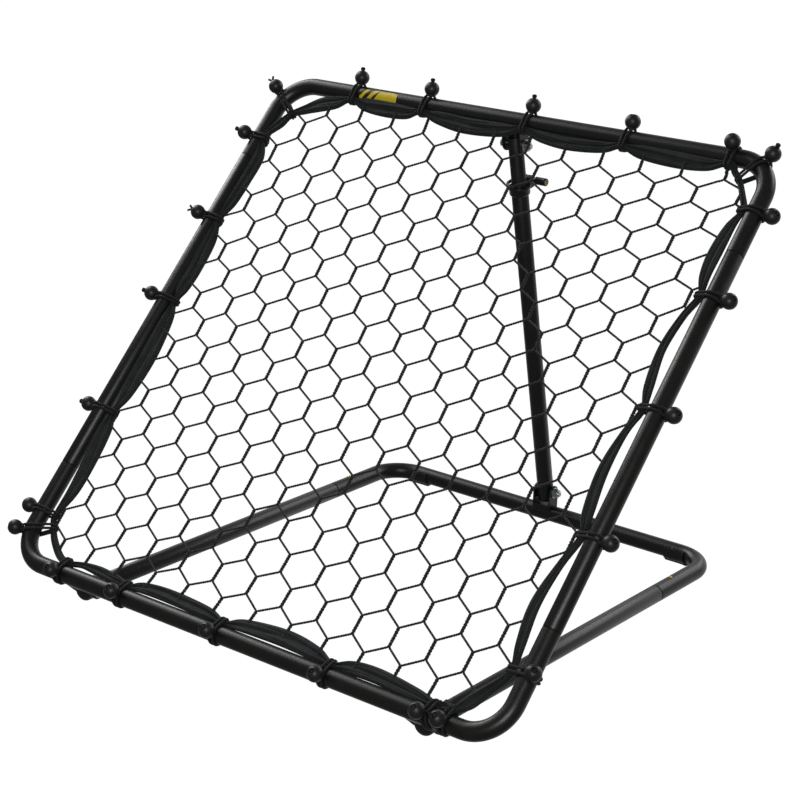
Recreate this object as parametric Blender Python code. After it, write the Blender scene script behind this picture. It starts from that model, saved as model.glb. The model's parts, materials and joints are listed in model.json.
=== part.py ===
"""Pitch back rebounder: a square net frame that leans back on a floor base and a telescopic strut.

Metres, +Z up. X runs along the top bar, the net faces -Y, and the floor is z = 0.
The net frame is drawn upright in its own space (x, back, up) and hung on an empty that leans it back.
"""

import math

import bmesh
import bpy
from mathutils import Matrix, Vector

GAP = 0.0003

# Tubes
TUBE_R = 0.0125
TUBE_BORE_R = 0.0113
SWAGE_R = 0.0110
SWAGE_BORE_R = 0.0098
SLIM_R = 0.0110
SLIM_BORE_R = 0.0100
BEND_R = 0.052
TUBE_SIDES = 16
BEND_STEPS = 5

# Net frame, between tube axes
FRAME_SIDE = 0.840
HALF = FRAME_SIDE / 2
LOWER_SEAM = 0.150
UPPER_SEAM = 0.698
SWAGE_LENGTH = 0.040
LEAN = math.radians(43.3)

# Base, between tube axes
BASE_HALF = 0.300
BASE_DEPTH = 0.714
BASE_AXIS_Z = 0.015
BASE_SEAM_Y = 0.556
BASE_SWAGE_LENGTH = 0.064
BUTTON_Y = 0.595
TUBE_END_Y = 0.0175

# Brackets and bolts
BOLT_REACH = 0.035
EAR_T = 0.0025
EAR_R = 0.011
SADDLE_T = 0.002
BOLT_R = 0.0040
BOLT_HOLE_R = 0.0043
PIVOT_BRACKET_GAP = 0.0314
STRUT_BRACKET_GAP = 0.0266
WASHER_R = 0.0085
WASHER_T = 0.0016
NUT_T = 0.0065
HEAD_T = 0.0053
HEX_R = 0.0075
BOLT_TAIL = 0.003
# The strut's upper hole is wide, because its path is matched to the frame's by fixed ratios.
STRUT_TOP_HOLE_R = 0.0078

PIVOT_DROP = math.radians(42.0)
BAR_Y = -0.3481
BAR_Z = BASE_AXIS_Z + BOLT_REACH * math.sin(PIVOT_DROP)
PIVOT_Y = BAR_Y + BOLT_REACH * math.cos(PIVOT_DROP)
REAR_Y = BAR_Y + BASE_DEPTH

# Foot caps and rear feet
CAP_R = 0.015
CAP_BORE_R = 0.0128
CAP_BACK_Y = 0.045
CAP_NOSE = 0.009
FOOT_START_X = 0.225
FOOT_TOP_FRONT = 140
FOOT_TOP_BACK = 375
RIVET_X = 0.241
RIVET_ANGLE = math.radians(155)
RIVET_R = 0.0033
RIVET_PROUD = 0.0007

# Strut, measured along its axis from the lower bolt
STRUT_TAIL = 0.014
STRUT_LOWER_TOP = 0.510
STRUT_UPPER_FROM = 0.150
STRUT_UPPER_TAIL = 0.012
CLAMP_BOLT_AT = 0.5195
CLAMP_BOLT_BACK = 0.019
CLAMP_BOLT_R = 0.0024
LEVER_X = -0.0135
LEVER_ARC_R = 0.0172
TOP_BOLT_DOWN = 0.0212
TOP_BOLT_BACK = 0.0278

# Net, band and ties, in the plane of the net frame
BAND_HALF = 0.008
BAND_T = 0.005
BAND_SIDE = HALF - 0.026
BAND_LOW = 0.026
BAND_HIGH = FRAME_SIDE - BAND_LOW
BAND_PATH = [
    (-BAND_SIDE, 0.108), (-BAND_SIDE, 0.745), (-0.388, 0.779), (-0.345, BAND_HIGH),
    (0.345, BAND_HIGH), (0.379, 0.805), (BAND_SIDE, 0.765), (BAND_SIDE, 0.110),
    (0.384, 0.066), (0.362, 0.036), (0.330, BAND_LOW), (-0.342, BAND_LOW), (-0.377, 0.058),
]
NET_EDGE = 0.0395
NET_T = 0.003
CORD_R = 0.0016
BALL_R = 0.011
BALL_REACH = 0.025
LOOP_R = 0.0150
LOOP_TIP_R = 0.0072
LOOP_TIP_OUT = 0.0040
LOOP_STEP = 30.0

# Ball bungees on each side: place along the bar, and the ball's angle from straight out to the front
TIES = {
    "top": [(-0.286, 29), (-0.154, 29), (0.026, 27), (0.191, 27), (0.355, 60)],
    "bottom": [(-0.326, 76), (-0.208, 84), (-0.030, 78), (0.156, 74), (0.3235, 82)],
    "left": [(0.074, 12), (0.246, 12), (0.438, 24), (0.583, 35), (0.732, 35)],
    "right": [(0.763, 2), (0.630, 10), (0.460, 10), (0.276, 14), (0.089, 54)],
}
# Corner bungees: point on the bar's axis, direction into the net in degrees, ball's angle to the front
CORNER_TIES = {
    "top_left": ((-0.4155, 0.8080), -43, 38),
    "top_right": ((0.3965, 0.8315), -130, 24),
    "bottom_left": ((-0.4185, 0.0420), 22, 36),
    "bottom_right": ((0.3465, 0.0000), 90, 82),
}


# ---------------------------------------------------------------- small tools

def material(name, colour, roughness, metallic=0.0):
    found = bpy.data.materials.get(name)
    if found:
        return found
    made = bpy.data.materials.new(name)
    made.use_nodes = True
    shader = made.node_tree.nodes["Principled BSDF"]
    shader.inputs["Base Color"].default_value = (*colour, 1.0)
    shader.inputs["Roughness"].default_value = roughness
    shader.inputs["Metallic"].default_value = metallic
    made.diffuse_color = (*colour, 1.0)
    return made


def black_coat():
    return material("black_coat", (0.018, 0.018, 0.019), 0.38, 0.2)


def black_plastic():
    return material("black_plastic", (0.012, 0.012, 0.012), 0.45)


def zinc():
    return material("zinc", (0.62, 0.66, 0.66), 0.32, 1.0)


def brass():
    return material("brass", (0.78, 0.62, 0.30), 0.30, 1.0)


def net_cord():
    return material("net_cord", (0.020, 0.019, 0.018), 0.85)


def band_fabric():
    return material("band_fabric", (0.017, 0.021, 0.022), 0.80)


def empty(name, place=(0, 0, 0), turn=(0, 0, 0), parent=None):
    made = bpy.data.objects.new(name, None)
    made.location = place
    made.rotation_euler = turn
    made.parent = parent
    bpy.context.scene.collection.objects.link(made)
    return made


def solid(name, bm, finish, parent, place=(0, 0, 0), turn=(0, 0, 0)):
    """Makes a named object of a closed bmesh, with its faces out and its round sides smooth."""
    bmesh.ops.recalc_face_normals(bm, faces=bm.faces)
    mesh = bpy.data.meshes.new(name)
    bm.to_mesh(mesh)
    bm.free()
    mesh.materials.append(finish)
    mesh.shade_smooth()
    mesh.set_sharp_from_angle(angle=math.radians(40))
    made = bpy.data.objects.new(name, mesh)
    made.location = place
    made.rotation_euler = turn
    made.parent = parent
    bpy.context.scene.collection.objects.link(made)
    return made


def cutter(name, bm, parent, place=(0, 0, 0), turn=(0, 0, 0)):
    made = solid(name, bm, black_coat(), parent, place, turn)
    made.hide_render = True
    made.display_type = "WIRE"
    return made


def boolean(target, tool, operation="DIFFERENCE"):
    step = target.modifiers.new(operation.lower(), "BOOLEAN")
    step.operation = operation
    step.solver = "EXACT"
    step.object = tool


def skin_rings(bm, rings, closed=False):
    """Joins rings of equally many vertices with quads."""
    pairs = zip(rings, rings[1:] + rings[:1]) if closed else zip(rings, rings[1:])
    for low, high in pairs:
        count = len(low)
        for i in range(count):
            j = (i + 1) % count
            bm.faces.new((low[i], low[j], high[j], high[i]))


def tangents(path, closed=False):
    found = []
    last = len(path) - 1
    for i, point in enumerate(path):
        before = path[i - 1] if (i or closed) else point
        after = path[(i + 1) % len(path)] if (i < last or closed) else point
        found.append((after - before).normalized())
    return found


def ring(bm, centre, tangent, side, radius, count, turn=0.0):
    """A circle across a path that lies in the plane with normal `side`."""
    other = side.cross(tangent).normalized()
    across = tangent.cross(other).normalized()
    return [
        bm.verts.new(centre + radius * (math.cos(a) * across + math.sin(a) * other))
        for a in (turn + 2 * math.pi * i / count for i in range(count))
    ]


def hollow_tube(bm, path, side, outer, bore, count=TUBE_SIDES):
    """An open tube along a planar path, with an outer and a bore radius at each point."""
    dirs = tangents(path)
    outside = [ring(bm, p, t, side, r, count) for p, t, r in zip(path, dirs, outer)]
    inside = [ring(bm, p, t, side, r, count) for p, t, r in zip(path, dirs, bore)]
    skin_rings(bm, outside)
    skin_rings(bm, [list(reversed(r)) for r in inside])
    for end in (0, -1):
        for i in range(count):
            j = (i + 1) % count
            bm.faces.new((outside[end][i], outside[end][j], inside[end][j], inside[end][i]))


def rod(bm, path, side, radius, count, closed=False):
    """A solid rod along a planar path."""
    rings = [ring(bm, p, t, side, radius, count) for p, t in zip(path, tangents(path, closed))]
    skin_rings(bm, rings, closed)
    if not closed:
        bm.faces.new(rings[0])
        bm.faces.new(rings[-1])


def cylinder(bm, low, high, radius, count=16):
    """A plain cylinder between two points, turned so that no corner lies on a middle plane."""
    along = (high - low).normalized()
    helper = Vector((1, 0, 0)) if abs(along.x) < 0.9 else Vector((0, 0, 1))
    side = along.cross(helper).normalized()
    ends = [ring(bm, p, along, side, radius, count, math.pi / count) for p in (low, high)]
    skin_rings(bm, ends)
    bm.faces.new(ends[0])
    bm.faces.new(ends[1])


def lathe(bm, profile, count=16, closed=False):
    """Turns (radius, z) points about Z. An open profile starts and ends on the axis.

    A point (radius, z, "hex") makes a hexagon of that corner radius, on a count of 12.
    """
    rings = []
    for radius, z, *shape in profile:
        if radius == 0:
            rings.append([bm.verts.new((0, 0, z))])
            continue
        points = []
        for i in range(count):
            angle = 2 * math.pi * i / count
            reach = radius * math.cos(math.pi / 6) if shape and i % 2 else radius
            points.append(bm.verts.new((reach * math.cos(angle), reach * math.sin(angle), z)))
        rings.append(points)
    pairs = list(zip(rings, rings[1:] + rings[:1])) if closed else list(zip(rings, rings[1:]))
    for low, high in pairs:
        for i in range(count):
            j = (i + 1) % count
            if len(low) == 1:
                bm.faces.new((low[0], high[j], high[i]))
            elif len(high) == 1:
                bm.faces.new((low[i], low[j], high[0]))
            else:
                bm.faces.new((low[i], low[j], high[j], high[i]))


def prism(bm, outline, start, end):
    """Extrudes a closed outline of (a, b) points from x = start to x = end, with a along Y and b along Z."""
    first = [bm.verts.new((start, a, b)) for a, b in outline]
    second = [bm.verts.new((end, a, b)) for a, b in outline]
    skin_rings(bm, [first, second])
    bm.faces.new(first)
    bm.faces.new(second)


def box(bm, low, high):
    xs, ys, zs = zip(low, high)
    prism(bm, [(ys[0], zs[0]), (ys[1], zs[0]), (ys[1], zs[1]), (ys[0], zs[1])], xs[0], xs[1])


def arc(centre, radius, start, end, steps):
    """Points on an arc in two dimensions, angles in degrees."""
    angles = (math.radians(start + (end - start) * i / steps) for i in range(steps + 1))
    return [(centre[0] + radius * math.cos(a), centre[1] + radius * math.sin(a)) for a in angles]


# ---------------------------------------------------------------- shared hardware

def bracket_outline():
    """Across the bar: an ear with a round end at the bolt, and a saddle that fits the bar."""
    saddle_r = TUBE_R + GAP
    foot = math.sqrt(saddle_r ** 2 - EAR_R ** 2)
    half_angle = math.degrees(math.asin(EAR_R / saddle_r))
    head = arc((0, BOLT_REACH), EAR_R, 0, 180, 8)
    saddle = arc((0, 0), saddle_r, 90 + half_angle, 90 - half_angle, 6)
    return head + [(-EAR_R, foot)] + saddle[1:-1] + [(EAR_R, foot)]


def saddle_bracket(name, gap, parent, place, turn):
    """A folded steel bracket welded to a bar, with two ears and a cross hole at the bolt."""
    bm = bmesh.new()
    outer = gap / 2 + EAR_T
    prism(bm, bracket_outline(), -outer, outer)
    made = solid(name, bm, black_coat(), parent, place, turn)
    bm = bmesh.new()
    floor = TUBE_R + GAP + SADDLE_T
    box(bm, (-gap / 2, -2 * EAR_R, floor), (gap / 2, 2 * EAR_R, BOLT_REACH + 2 * EAR_R))
    boolean(made, cutter(name + "_slot", bm, parent, place, turn))
    bm = bmesh.new()
    cylinder(bm, Vector((-2 * outer, 0, BOLT_REACH)), Vector((2 * outer, 0, BOLT_REACH)), BOLT_HOLE_R, 12)
    boolean(made, cutter(name + "_hole", bm, parent, place, turn))
    return made


def bolt_set(prefix, gap, spot, parent):
    """A hex bolt and its nut across a bracket, along X. Each is one piece with its washer."""
    face = gap / 2 + EAR_T + GAP
    seat = face + WASHER_T
    turn = (0, math.pi / 2, 0)
    profile = [(0, -seat - HEAD_T), (HEX_R, -seat - HEAD_T, "hex"), (HEX_R, -seat, "hex"),
               (WASHER_R, -seat), (WASHER_R, -face), (BOLT_R, -face),
               (BOLT_R, seat + NUT_T + BOLT_TAIL), (0, seat + NUT_T + BOLT_TAIL)]
    bm = bmesh.new()
    lathe(bm, profile, 12)
    solid(prefix + "_bolt", bm, zinc(), parent, spot, turn)
    profile = [(BOLT_HOLE_R, face), (WASHER_R, face), (WASHER_R, seat), (HEX_R, seat, "hex"),
               (HEX_R, seat + NUT_T, "hex"), (BOLT_HOLE_R, seat + NUT_T)]
    bm = bmesh.new()
    lathe(bm, profile, 12, closed=True)
    solid(prefix + "_nut", bm, zinc(), parent, spot, turn)


def cross_hole(target, name, at, radius, parent, reach=0.03):
    bm = bmesh.new()
    along = Vector((reach, 0, 0))
    cylinder(bm, Vector(at) - along, Vector(at) + along, radius, 12)
    boolean(target, cutter(name, bm, parent))


# ---------------------------------------------------------------- net frame

def u_bend(name, seam, bar, parent):
    """The bar with two round corners and two short legs, in the frame's own XZ plane."""
    sign = 1 if bar > seam else -1
    corner = bar - sign * BEND_R
    right = arc((HALF - BEND_R, corner), BEND_R, 0, sign * 90, BEND_STEPS)
    left = [(-x, z) for x, z in reversed(right)]
    outline = [(HALF, seam)] + right + left + [(-HALF, seam)]
    path = [Vector((x, 0, z)) for x, z in outline]
    bm = bmesh.new()
    hollow_tube(bm, path, Vector((0, 1, 0)), [TUBE_R] * len(path), [TUBE_BORE_R] * len(path))
    return solid(name, bm, black_coat(), parent)


def swaged_tube(name, low, high, swages, parent):
    """A straight tube whose stated ends are drawn down to slide into the next tube."""
    along = (high - low).normalized()
    length = (high - low).length
    stops = [(0, TUBE_R, TUBE_BORE_R), (length, TUBE_R, TUBE_BORE_R)]
    if "low" in swages:
        step = [(-swages["low"], SWAGE_R, SWAGE_BORE_R), (-GAP, SWAGE_R, SWAGE_BORE_R)]
        stops = step + [(GAP, TUBE_R, TUBE_BORE_R)] + stops[1:]
    if "high" in swages:
        step = [(length + GAP, SWAGE_R, SWAGE_BORE_R), (length + swages["high"], SWAGE_R, SWAGE_BORE_R)]
        stops = stops[:-1] + [(length - GAP, TUBE_R, TUBE_BORE_R)] + step
    path = [low + along * at for at, _, _ in stops]
    bm = bmesh.new()
    side = Vector((1, 0, 0))
    hollow_tube(bm, path, side, [o for _, o, _ in stops], [b for _, _, b in stops])
    return solid(name, bm, black_coat(), parent)


def frame_tubes(parent):
    u_bend("frame_top_bend", UPPER_SEAM, FRAME_SIDE, parent)
    u_bend("frame_bottom_bend", LOWER_SEAM, 0.0, parent)
    swages = {"low": SWAGE_LENGTH, "high": SWAGE_LENGTH}
    for name, x in (("left", -HALF), ("right", HALF)):
        low = Vector((x, 0, LOWER_SEAM + 2 * GAP))
        high = Vector((x, 0, UPPER_SEAM - 2 * GAP))
        swaged_tube(f"frame_{name}_tube", low, high, swages, parent)


def frame_brackets(lean):
    """Two pivot brackets behind the bottom bar and one strut bracket behind the top bar."""
    turn = PIVOT_DROP - LEAN
    aim = -(math.pi / 2 + turn)
    for name, x in (("left", -BASE_HALF), ("right", BASE_HALF)):
        saddle_bracket(f"{name}_pivot_bracket", PIVOT_BRACKET_GAP, lean, (x, 0, 0), (aim, 0, 0))
        spot = (x, BOLT_REACH * math.cos(turn), -BOLT_REACH * math.sin(turn))
        bolt_set(f"{name}_pivot", PIVOT_BRACKET_GAP, spot, lean)
    aim = -math.atan2(TOP_BOLT_BACK, -TOP_BOLT_DOWN)
    saddle_bracket("top_strut_bracket", STRUT_BRACKET_GAP, lean, (0, 0, FRAME_SIDE), (aim, 0, 0))
    spot = (0, BOLT_REACH * math.sin(-aim), FRAME_SIDE + BOLT_REACH * math.cos(aim))
    bolt_set("top_strut", STRUT_BRACKET_GAP, spot, lean)


def rebound_net(parent):
    """The net as one thin sheet inside its band."""
    edge = HALF - NET_EDGE
    top = FRAME_SIDE - NET_EDGE
    outline = [
        (-edge, 0.740), (-0.336, top), (0.336, top), (edge, 0.758), (edge, 0.160),
        (0.355, 0.080), (0.300, NET_EDGE), (-0.328, NET_EDGE), (-0.361, 0.070), (-edge, 0.122),
    ]
    bm = bmesh.new()
    front = [bm.verts.new((x, -NET_T / 2, z)) for x, z in outline]
    back = [bm.verts.new((x, NET_T / 2, z)) for x, z in outline]
    skin_rings(bm, [front, back])
    bm.faces.new(front)
    bm.faces.new(back)
    solid("rebound_net", bm, net_cord(), parent)


def net_band(parent):
    """The folded fabric band round the net, a flat strip that cuts across the corners."""
    path = [Vector((x, 0, z)) for x, z in BAND_PATH]
    bm = bmesh.new()
    rings = []
    for point, along in zip(path, tangents(path, closed=True)):
        across = Vector((0, 1, 0)).cross(along).normalized() * BAND_HALF
        deep = Vector((0, BAND_T / 2, 0))
        corners = (across + deep, across - deep, -across - deep, -across + deep)
        rings.append([bm.verts.new(point + c) for c in corners])
    skin_rings(bm, rings, closed=True)
    solid("net_band", bm, band_fabric(), parent)


def band_distance(foot, inward):
    """How far from a point on the bar's axis the band's middle lies, along a direction."""
    found = []
    for low, high in zip(BAND_PATH, BAND_PATH[1:] + BAND_PATH[:1]):
        edge = Vector(high) - Vector(low)
        offset = Vector(low) - foot
        cross = inward.cross(edge)
        if abs(cross) < 1e-9:
            continue
        reach = offset.cross(edge) / cross
        if reach > 0 and 0 <= offset.cross(inward) / cross <= 1:
            found.append(reach)
    return min(found)


def bungee_loop(reach):
    """The elastic's closed path round the bar at the origin and round the band at +X."""
    far = reach + LOOP_TIP_OUT
    lap = math.degrees(math.acos((LOOP_R - LOOP_TIP_R) / far))
    steps = round((360 - 2 * lap) / LOOP_STEP)
    points = arc((0, 0), LOOP_R, lap, 360 - lap, steps)
    points += arc((far, 0), LOOP_TIP_R, -lap, lap, 4)
    return [Vector((x, y, 0)) for x, y in points]


def ball_bungee(name, foot, heading, ball_angle, parent):
    """A ball on an elastic loop that ties the band to the bar. Local +X points into the net."""
    foot = Vector(foot)
    inward = Vector((math.cos(math.radians(heading)), math.sin(math.radians(heading))))
    place = (foot.x, 0, foot.y)
    turn = (0, -math.radians(heading), 0)
    angle = math.radians(ball_angle)
    centre = Vector((-math.cos(angle), -math.sin(angle), 0)) * BALL_REACH
    bm = bmesh.new()
    bmesh.ops.create_icosphere(bm, subdivisions=2, radius=BALL_R, matrix=Matrix.Translation(centre))
    ball = solid(name, bm, black_plastic(), parent, place, turn)
    bm = bmesh.new()
    rod(bm, bungee_loop(band_distance(foot, inward)), Vector((0, 0, 1)), CORD_R, 5, closed=True)
    boolean(ball, cutter(name + "_loop", bm, parent, place, turn), "UNION")


def ball_bungees(parent):
    sides = {
        "top": (lambda a: (a, FRAME_SIDE), -90),
        "bottom": (lambda a: (a, 0.0), 90),
        "left": (lambda a: (-HALF, a), 0),
        "right": (lambda a: (HALF, a), 180),
    }
    for side, (foot_at, heading) in sides.items():
        for number, (along, ball_angle) in enumerate(TIES[side], 1):
            ball_bungee(f"bungee_{side}_{number}", foot_at(along), heading, ball_angle, parent)
    for corner, (foot, heading, ball_angle) in CORNER_TIES.items():
        ball_bungee(f"bungee_{corner}", foot, heading, ball_angle, parent)


# ---------------------------------------------------------------- base

def rear_bend_path():
    """The axis of the rear bend: right leg, corner, rear bar, corner, left leg."""
    corner = BASE_DEPTH - BEND_R
    right = arc((BASE_HALF - BEND_R, corner), BEND_R, 0, 90, BEND_STEPS)
    left = [(-x, y) for x, y in reversed(right)]
    outline = [(BASE_HALF, BASE_SEAM_Y)] + right + left + [(-BASE_HALF, BASE_SEAM_Y)]
    return [Vector((x, BAR_Y + y, BASE_AXIS_Z)) for x, y in outline]


def base_tubes():
    path = rear_bend_path()
    bm = bmesh.new()
    hollow_tube(bm, path, Vector((0, 0, 1)), [TUBE_R] * len(path), [TUBE_BORE_R] * len(path))
    bend = solid("base_rear_bend", bm, black_coat(), None)
    for name, x in (("left", -BASE_HALF), ("right", BASE_HALF)):
        low = Vector((x, BAR_Y + TUBE_END_Y, BASE_AXIS_Z))
        high = Vector((x, BAR_Y + BASE_SEAM_Y - 2 * GAP, BASE_AXIS_Z))
        tube = swaged_tube(f"base_{name}_tube", low, high, {"high": BASE_SWAGE_LENGTH}, None)
        cross_hole(tube, f"base_{name}_bolt_hole", (x, PIVOT_Y, BASE_AXIS_Z), BOLT_HOLE_R, None)
        bm = bmesh.new()
        at = Vector((x, BAR_Y + BUTTON_Y, BASE_AXIS_Z))
        cylinder(bm, at, at + Vector((0, 0, 0.03)), 0.0033, 12)
        hole = cutter(f"base_{name}_button_hole", bm, None)
        boolean(tube, hole)
        boolean(bend, hole)
        snap_button(name, x)
        leaf_spring(name, x)


def snap_button(name, x):
    """A brass button that stands out of the lap joint and travels down into the tube."""
    top = BASE_AXIS_Z + TUBE_R + 0.0025
    foot = BASE_AXIS_Z + SWAGE_BORE_R - 0.0035
    profile = [(0, foot), (0.0045, foot), (0.0045, foot + 0.0012), (0.0029, foot + 0.0012),
               (0.0029, top - 0.0012), (0.0018, top - 0.0002), (0, top)]
    bm = bmesh.new()
    lathe(bm, profile, 12)
    solid(f"{name}_snap_button", bm, brass(), None, (x, BAR_Y + BUTTON_Y, 0))


def leaf_spring(name, x):
    """A folded leaf spring under the snap button, inside the tube."""
    top = SWAGE_BORE_R - 0.0035 - 2 * GAP
    foot = -0.0085
    bend = 0.028
    t = 0.0006
    outline = [(-0.006, top), (0.006, top), (bend, t), (0.006, foot), (-0.006, foot),
               (-0.006, foot + t), (0.006 - t, foot + t), (bend - 2 * t, t), (0.006 - t, top - t),
               (-0.006, top - t)]
    bm = bmesh.new()
    prism(bm, outline, -0.003, 0.003)
    solid(f"{name}_button_spring", bm, zinc(), None, (x, BAR_Y + BUTTON_Y, BASE_AXIS_Z))


def foot_caps():
    """Round-nosed caps on the front ends of the base tubes: they stand on the floor under the pivots."""
    start = TUBE_END_Y - GAP
    nose = [(CAP_R * math.cos(a), start - CAP_NOSE * math.sin(a))
            for a in (math.radians(d) for d in (0, 22, 45, 68))]
    profile = [(0, start - CAP_NOSE)] + list(reversed(nose)) + [
        (CAP_R, CAP_BACK_Y - 0.001), (CAP_R - 0.001, CAP_BACK_Y), (CAP_BORE_R, CAP_BACK_Y),
        (CAP_BORE_R, start), (0, start)]
    for name, x in (("left", -BASE_HALF), ("right", BASE_HALF)):
        bm = bmesh.new()
        lathe(bm, profile, TUBE_SIDES)
        cap = solid(f"base_{name}_foot_cap", bm, black_plastic(), None,
                    (x, BAR_Y, BASE_AXIS_Z), (-math.pi / 2, 0, 0))
        cross_hole(cap, f"{name}_cap_hole", (x, PIVOT_Y, BASE_AXIS_Z), BOLT_HOLE_R, None)


def rear_feet():
    """Saddle pads under the ends of the rear bar, each with the head of the rivet that holds it."""
    inner = TUBE_R + GAP
    flat = CAP_R * math.sin(math.radians(28))
    shell = arc((0, 0), CAP_R, FOOT_TOP_FRONT, 242, 5) + [(-flat, -CAP_R), (flat, -CAP_R)]
    shell += arc((0, 0), CAP_R, 298, FOOT_TOP_BACK, 4)
    shell += arc((0, 0), inner, FOOT_TOP_BACK, FOOT_TOP_FRONT, 12)
    path = rear_bend_path()
    dirs = tangents(path)
    last = len(path) - 1
    for name, side, corner in (("right", 1, BEND_STEPS + 1), ("left", -1, last - BEND_STEPS - 1)):
        start = Vector((side * FOOT_START_X, REAR_Y, BASE_AXIS_Z))
        stops = [(start, Vector((-1, 0, 0)))]
        stops += [(path[i], dirs[i]) for i in (corner, corner - side)]
        bm = bmesh.new()
        rings = []
        for point, along in stops:
            back = along.cross(Vector((0, 0, 1))).normalized()
            rings.append([bm.verts.new(point + back * a + Vector((0, 0, b))) for a, b in shell])
        skin_rings(bm, rings)
        bm.faces.new(rings[0])
        bm.faces.new(rings[-1])
        pad = solid(f"rear_foot_{name}", bm, black_plastic(), None)
        bm = bmesh.new()
        out = Vector((0, math.cos(RIVET_ANGLE), math.sin(RIVET_ANGLE)))
        axis = Vector((side * RIVET_X, REAR_Y, BASE_AXIS_Z))
        cylinder(bm, axis + out * (inner + 0.0004), axis + out * (CAP_R + RIVET_PROUD), RIVET_R, 12)
        boolean(pad, cutter(f"rear_rivet_{name}", bm, None), "UNION")


# ---------------------------------------------------------------- strut

def strut_frame():
    """The strut's lower bolt, upper bolt and length, in world space."""
    low = Vector((0, REAR_Y, BASE_AXIS_Z + BOLT_REACH))
    up = Vector((0, math.sin(LEAN), math.cos(LEAN)))
    front = Vector((0, -math.cos(LEAN), math.sin(LEAN)))
    bar = Vector((0, BAR_Y, BAR_Z)) + up * FRAME_SIDE
    high = bar - up * TOP_BOLT_DOWN - front * TOP_BOLT_BACK
    return low, high


def strut():
    """Telescopic strut, drawn along +Z from the lower bolt, with +Y to its back."""
    low, high = strut_frame()
    run = high - low
    axis = empty("strut_axis", low, (math.atan2(-run.y, run.z), 0, 0))
    side = Vector((1, 0, 0))
    bm = bmesh.new()
    path = [Vector((0, 0, -STRUT_TAIL)), Vector((0, 0, STRUT_LOWER_TOP))]
    hollow_tube(bm, path, side, [TUBE_R] * 2, [TUBE_BORE_R] * 2)
    lower = solid("strut_lower_tube", bm, black_coat(), axis)
    cross_hole(lower, "strut_lower_hole", (0, 0, 0), BOLT_HOLE_R, axis)
    bm = bmesh.new()
    path = [Vector((0, 0, STRUT_UPPER_FROM)), Vector((0, 0, run.length + STRUT_UPPER_TAIL))]
    hollow_tube(bm, path, side, [SLIM_R] * 2, [SLIM_BORE_R] * 2)
    upper = solid("strut_upper_tube", bm, black_coat(), axis)
    cross_hole(upper, "strut_upper_hole", (0, 0, run.length), STRUT_TOP_HOLE_R, axis)
    clamp(axis)
    saddle_bracket("rear_strut_bracket", STRUT_BRACKET_GAP, None, (0, REAR_Y, BASE_AXIS_Z), (0, 0, 0))
    bolt_set("rear_strut", STRUT_BRACKET_GAP, low, None)


def clamp(axis):
    """Split collar on the lower tube's mouth, closed by a bolt with a cam lever and a round nut."""
    top = STRUT_LOWER_TOP
    lip = SLIM_R + GAP
    sleeve = TUBE_R + GAP
    profile = [(sleeve, top - 0.012), (0.0142, top - 0.012), (0.0153, top - 0.006), (0.0153, top + 0.002),
               (0.0165, top + 0.003), (0.0165, top + 0.0066), (lip, top + 0.0066), (lip, top + GAP),
               (sleeve, top + GAP)]
    bm = bmesh.new()
    lathe(bm, profile, 20, closed=True)
    collar = solid("strut_clamp_collar", bm, black_plastic(), axis)
    bm = bmesh.new()
    box(bm, (-0.0055, 0.0135, top - 0.003), (0.0090, 0.0245, CLAMP_BOLT_AT + 0.0055))
    boolean(collar, cutter("collar_ears", bm, axis), "UNION")
    bm = bmesh.new()
    box(bm, (-0.0012, 0.0080, top - 0.020), (0.0012, 0.0300, CLAMP_BOLT_AT + 0.010))
    boolean(collar, cutter("collar_split", bm, axis))
    centre = Vector((0, CLAMP_BOLT_BACK, CLAMP_BOLT_AT))
    cross_hole(collar, "collar_hole", centre, CLAMP_BOLT_R + GAP, axis)
    lever_parts(axis, centre)
    knob(axis, centre)


def lever_parts(axis, centre):
    """The bolt with its eye, the cam pin, and the lever that wraps round the strut."""
    eye = Vector((LEVER_X, centre.y, centre.z))
    bm = bmesh.new()
    cylinder(bm, eye + Vector((0.001, 0, 0)), centre + Vector((0.0335, 0, 0)), CLAMP_BOLT_R, 12)
    bolt = solid("clamp_bolt", bm, zinc(), axis)
    bm = bmesh.new()
    lift = Vector((0, 0, 0.0025))
    cylinder(bm, eye - lift, eye + lift, 0.0036, 16)
    boolean(bolt, cutter("clamp_bolt_eye", bm, axis), "UNION")
    pin_hole_r = 0.0018
    bm = bmesh.new()
    cylinder(bm, eye - 4 * lift, eye + 4 * lift, pin_hole_r, 12)
    pin_hole = cutter("clamp_pin_hole", bm, axis)
    boolean(bolt, pin_hole)
    bm = bmesh.new()
    cylinder(bm, eye - Vector((0, 0, 0.0056)), eye + Vector((0, 0, 0.0056)), pin_hole_r - GAP, 12)
    solid("clamp_lever_pin", bm, zinc(), axis)
    lever_at = empty("clamp_lever_axis", eye, (0, 0, 0), axis)
    bm = bmesh.new()
    head_half = Vector((0, 0, 0.0050))
    cylinder(bm, -head_half, head_half, 0.0062, 16)
    lever = solid("clamp_lever", bm, black_plastic(), lever_at)
    bm = bmesh.new()
    lever_arm(bm, -eye.x, -eye.y)
    boolean(lever, cutter("lever_arm", bm, lever_at), "UNION")
    bm = bmesh.new()
    box(bm, (-0.0045, -0.0045, -0.0029), (0.0090, 0.0090, 0.0029))
    boolean(lever, cutter("lever_fork", bm, lever_at))
    boolean(lever, pin_hole)


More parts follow.
